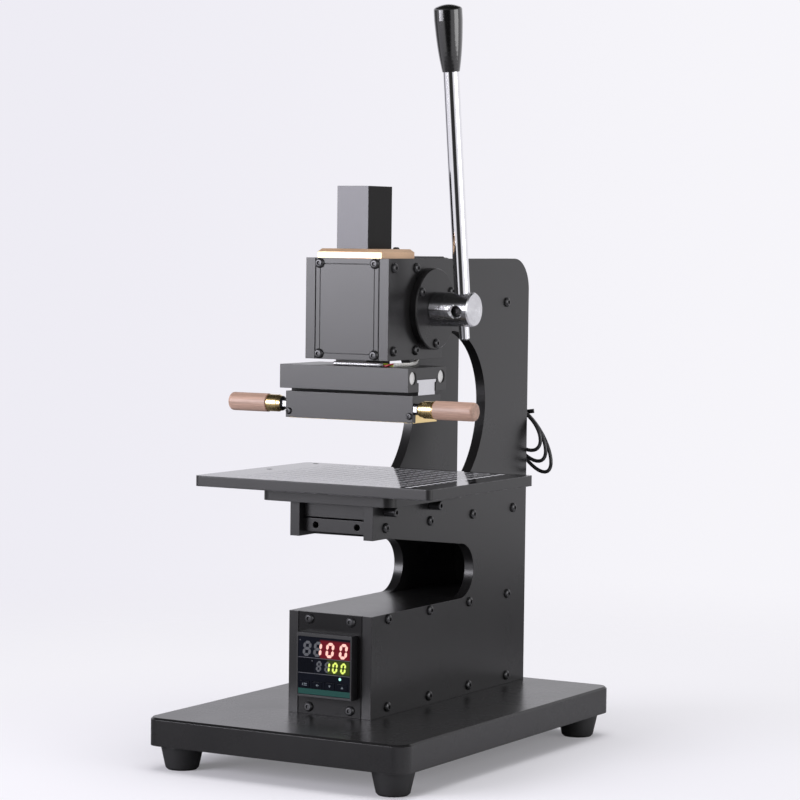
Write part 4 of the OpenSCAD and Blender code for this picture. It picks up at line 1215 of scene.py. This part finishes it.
def add_camera():
    """Takes the photograph's view; CAMERA_TURN is azimuth, downward pitch and roll."""
    azimuth, pitch, roll = (math.radians(angle) for angle in CAMERA_TURN)
    level_pitch = math.cos(pitch)
    ahead = Vector(
        (-math.sin(azimuth) * level_pitch, math.cos(azimuth) * level_pitch, -math.sin(pitch))
    )
    side = Vector((math.cos(azimuth), math.sin(azimuth), 0.0))
    upright = side.cross(ahead)
    right = math.cos(roll) * side + math.sin(roll) * upright
    up = math.cos(roll) * upright - math.sin(roll) * side
    data = bpy.data.cameras.new("camera")
    data.sensor_width = 36
    data.lens = CAMERA_LENS
    data.clip_start = 0.05
    data.clip_end = 60
    camera = bpy.data.objects.new("camera", data)
    turn = Matrix((right, up, -ahead)).transposed().to_4x4()
    camera.matrix_world = Matrix.Translation(CAMERA_PLACE) @ turn
    bpy.context.scene.collection.objects.link(camera)
    bpy.context.scene.camera = camera


def add_lamp(name, place, aim, size, colour, mirrored, brightness):
    """A rectangular lamp; brightness 1 looks as bright as white paper."""
    data = bpy.data.lights.new(name, "AREA")
    data.shape = "RECTANGLE"
    data.size, data.size_y = size
    data.energy = WHITE * size[0] * size[1] * brightness
    data.color = colour
    lamp = bpy.data.objects.new(name, data)
    lamp.location = place
    lamp.rotation_mode = "QUATERNION"
    lamp.rotation_quaternion = (Vector(aim) - Vector(place)).to_track_quat("-Z", "Y")
    lamp.visible_camera = False
    lamp.visible_glossy = mirrored
    bpy.context.scene.collection.objects.link(lamp)


def floor_mesh():
    """A wide round floor."""
    shape = bmesh.new()
    radius = FLOOR_REACH + 0.05
    bmesh.ops.create_circle(shape, cap_ends=True, radius=radius, segments=96)
    return mesh_from("floor", shape)


def floor_finish(settings):
    """Pale paper that keeps the machine's shadow and fades into the backdrop."""
    finish = Finish("studio paper")
    at = finish.place()
    x, y = finish.parts(at)[:2]
    paths = finish.node("ShaderNodeLightPath", output="Is Camera Ray")
    glossy = paths.other("Is Glossy Ray")
    seen = finish.math("MAXIMUM", paths, paths.other("Is Transmission Ray"))
    reach = finish.math("SQRT", x * x + y * y)
    far = finish.ramp(reach - 0.6 * glossy, FLOOR_NEAR, FLOOR_REACH)
    glow = 0.2 + FLOOR_GLOW * finish.ramp(reach, 0.18, 0.5)
    bright = finish.ramp(x, 0.05, 0.2) * (1.0 - finish.ramp(reach, 0.4, 0.7))
    tone = finish.shades(finish.noise(at, 900.0), settings.backdrop, 0.91, 0.94)
    mirrored = rgba(settings.backdrop, settings.mirrored_floor)
    tone = finish.mix(glossy * (1.0 - 0.9 * bright), tone, mirrored)
    sockets = {"Base Color": tone, "Roughness": 0.9, "Specular IOR Level": 0.0}
    paper = finish.node("ShaderNodeBsdfPrincipled", {}, sockets)
    sockets = {"Color": rgba(settings.backdrop, 0.98), "Strength": 1.0}
    light = finish.node("ShaderNodeEmission", {}, sockets)
    shown = finish.node("ShaderNodeMixShader", {}, {0: seen * glow, 1: paper, 2: light})
    clear = finish.node("ShaderNodeBsdfTransparent")
    faded = finish.node("ShaderNodeMixShader", {}, {0: far, 1: shown, 2: clear})
    finish.node("ShaderNodeOutputMaterial", {}, {"Surface": faded})
    return finish.material


class Surround(Finish):
    """The world's shader, built as a finish is."""

    def __init__(self, name):
        world = bpy.data.worlds.new(name)
        world.use_nodes = True
        self.tree = world.node_tree
        self.tree.nodes.clear()
        bpy.context.scene.world = world


def set_surround(settings):
    """Pale backdrop and even light; gloss also shows the dark room in front."""
    sky = Surround("surround")
    paths = sky.node("ShaderNodeLightPath", output="Is Camera Ray")
    shown = sky.math("MAXIMUM", paths, paths.other("Is Transmission Ray"))
    x, y, z = sky.parts(sky.node("ShaderNodeTexCoord", output="Generated"))
    to_right = sky.ramp(x, -0.62, -0.37)
    backdrop = sky.mix(to_right, rgba(settings.backdrop_left), rgba(settings.backdrop))
    ahead = x * math.cos(ROOM_TURN) + y * math.sin(ROOM_TURN)
    card = 0.8 * sky.ramp(z, -0.06, 0.05)
    in_front = sky.ramp(ahead, 0.80, 0.93) * (1.0 - card)
    dark = sky.math("MAXIMUM", in_front, sky.ramp(z, 0.4, 0.62))
    dark = sky.math("MAXIMUM", dark, 0.75 * sky.ramp(0.0 - x, 0.93, 0.985))
    mirrored = sky.mix(dark, backdrop, DARK_ROOM)
    even = rgba(settings.backdrop, settings.even)
    lit = sky.mix(paths.other("Is Glossy Ray"), even, mirrored)
    light = sky.node("ShaderNodeBackground", {}, {"Color": sky.mix(shown, lit, backdrop)})
    sky.node("ShaderNodeOutputWorld", {}, {"Surface": light})


class STAMPING_OT_studio(bpy.types.Operator):
    """Sets the floor, the even surround, the lamps and the camera"""

    bl_idname = "stamping.studio"
    bl_label = "Set studio"

    def execute(self, context):
        settings = context.scene.stamping_studio
        context.scene.view_settings.view_transform = "Standard"
        floor = bpy.data.objects.new("floor", floor_mesh())
        floor.data.materials.append(floor_finish(settings))
        context.scene.collection.objects.link(floor)
        set_surround(settings)
        for lamp, brightness in zip(LAMPS, (settings.softbox, settings.fill, settings.top)):
            add_lamp(*lamp, brightness)
        add_camera()
        return {"FINISHED"}


class STAMPING_PT_panel(bpy.types.Panel):
    """Lists the operators and their settings in the sidebar"""

    bl_label = "Foil Stamping Machine"
    bl_idname = "STAMPING_PT_panel"
    bl_space_type = "VIEW_3D"
    bl_region_type = "UI"
    bl_category = "Stamping"

    def draw(self, context):
        layout = self.layout
        for operator in OPERATORS:
            layout.operator(operator.bl_idname)
        for group in SETTINGS:
            box = layout.box()
            settings = getattr(context.scene, group)
            for name in settings.bl_rna.properties.keys():
                if name not in ("rna_type", "name"):
                    box.prop(settings, name)


SETTINGS = {
    "stamping_finishes": FinishSettings,
    "stamping_table": TableSettings,
    "stamping_display": DisplaySettings,
    "stamping_lead": LeadSettings,
    "stamping_studio": StudioSettings,
}
OPERATORS = (
    STAMPING_OT_studio,
    STAMPING_OT_lead,
    STAMPING_OT_heater_wires,
    STAMPING_OT_anodise,
    STAMPING_OT_machine_metal,
    STAMPING_OT_handles,
    STAMPING_OT_mouldings,
    STAMPING_OT_display,
    STAMPING_OT_keys,
    STAMPING_OT_table_lines,
)


def register():
    for group, kind in SETTINGS.items():
        bpy.utils.register_class(kind)
        setattr(bpy.types.Scene, group, PointerProperty(type=kind))
    for kind in OPERATORS + (STAMPING_PT_panel,):
        bpy.utils.register_class(kind)


def unregister():
    for kind in (STAMPING_PT_panel,) + OPERATORS[::-1]:
        bpy.utils.unregister_class(kind)
    for group, kind in SETTINGS.items():
        delattr(bpy.types.Scene, group)
        bpy.utils.unregister_class(kind)


def main():
    register()
    bpy.ops.stamping.studio()
    bpy.ops.stamping.lead()
    bpy.ops.stamping.heater_wires()
    bpy.ops.stamping.anodise()
    bpy.ops.stamping.machine_metal()
    bpy.ops.stamping.handles()
    bpy.ops.stamping.mouldings()
    bpy.ops.stamping.display()
    bpy.ops.stamping.keys()
    bpy.ops.stamping.table_lines()


if __name__ == "__main__":
    main()
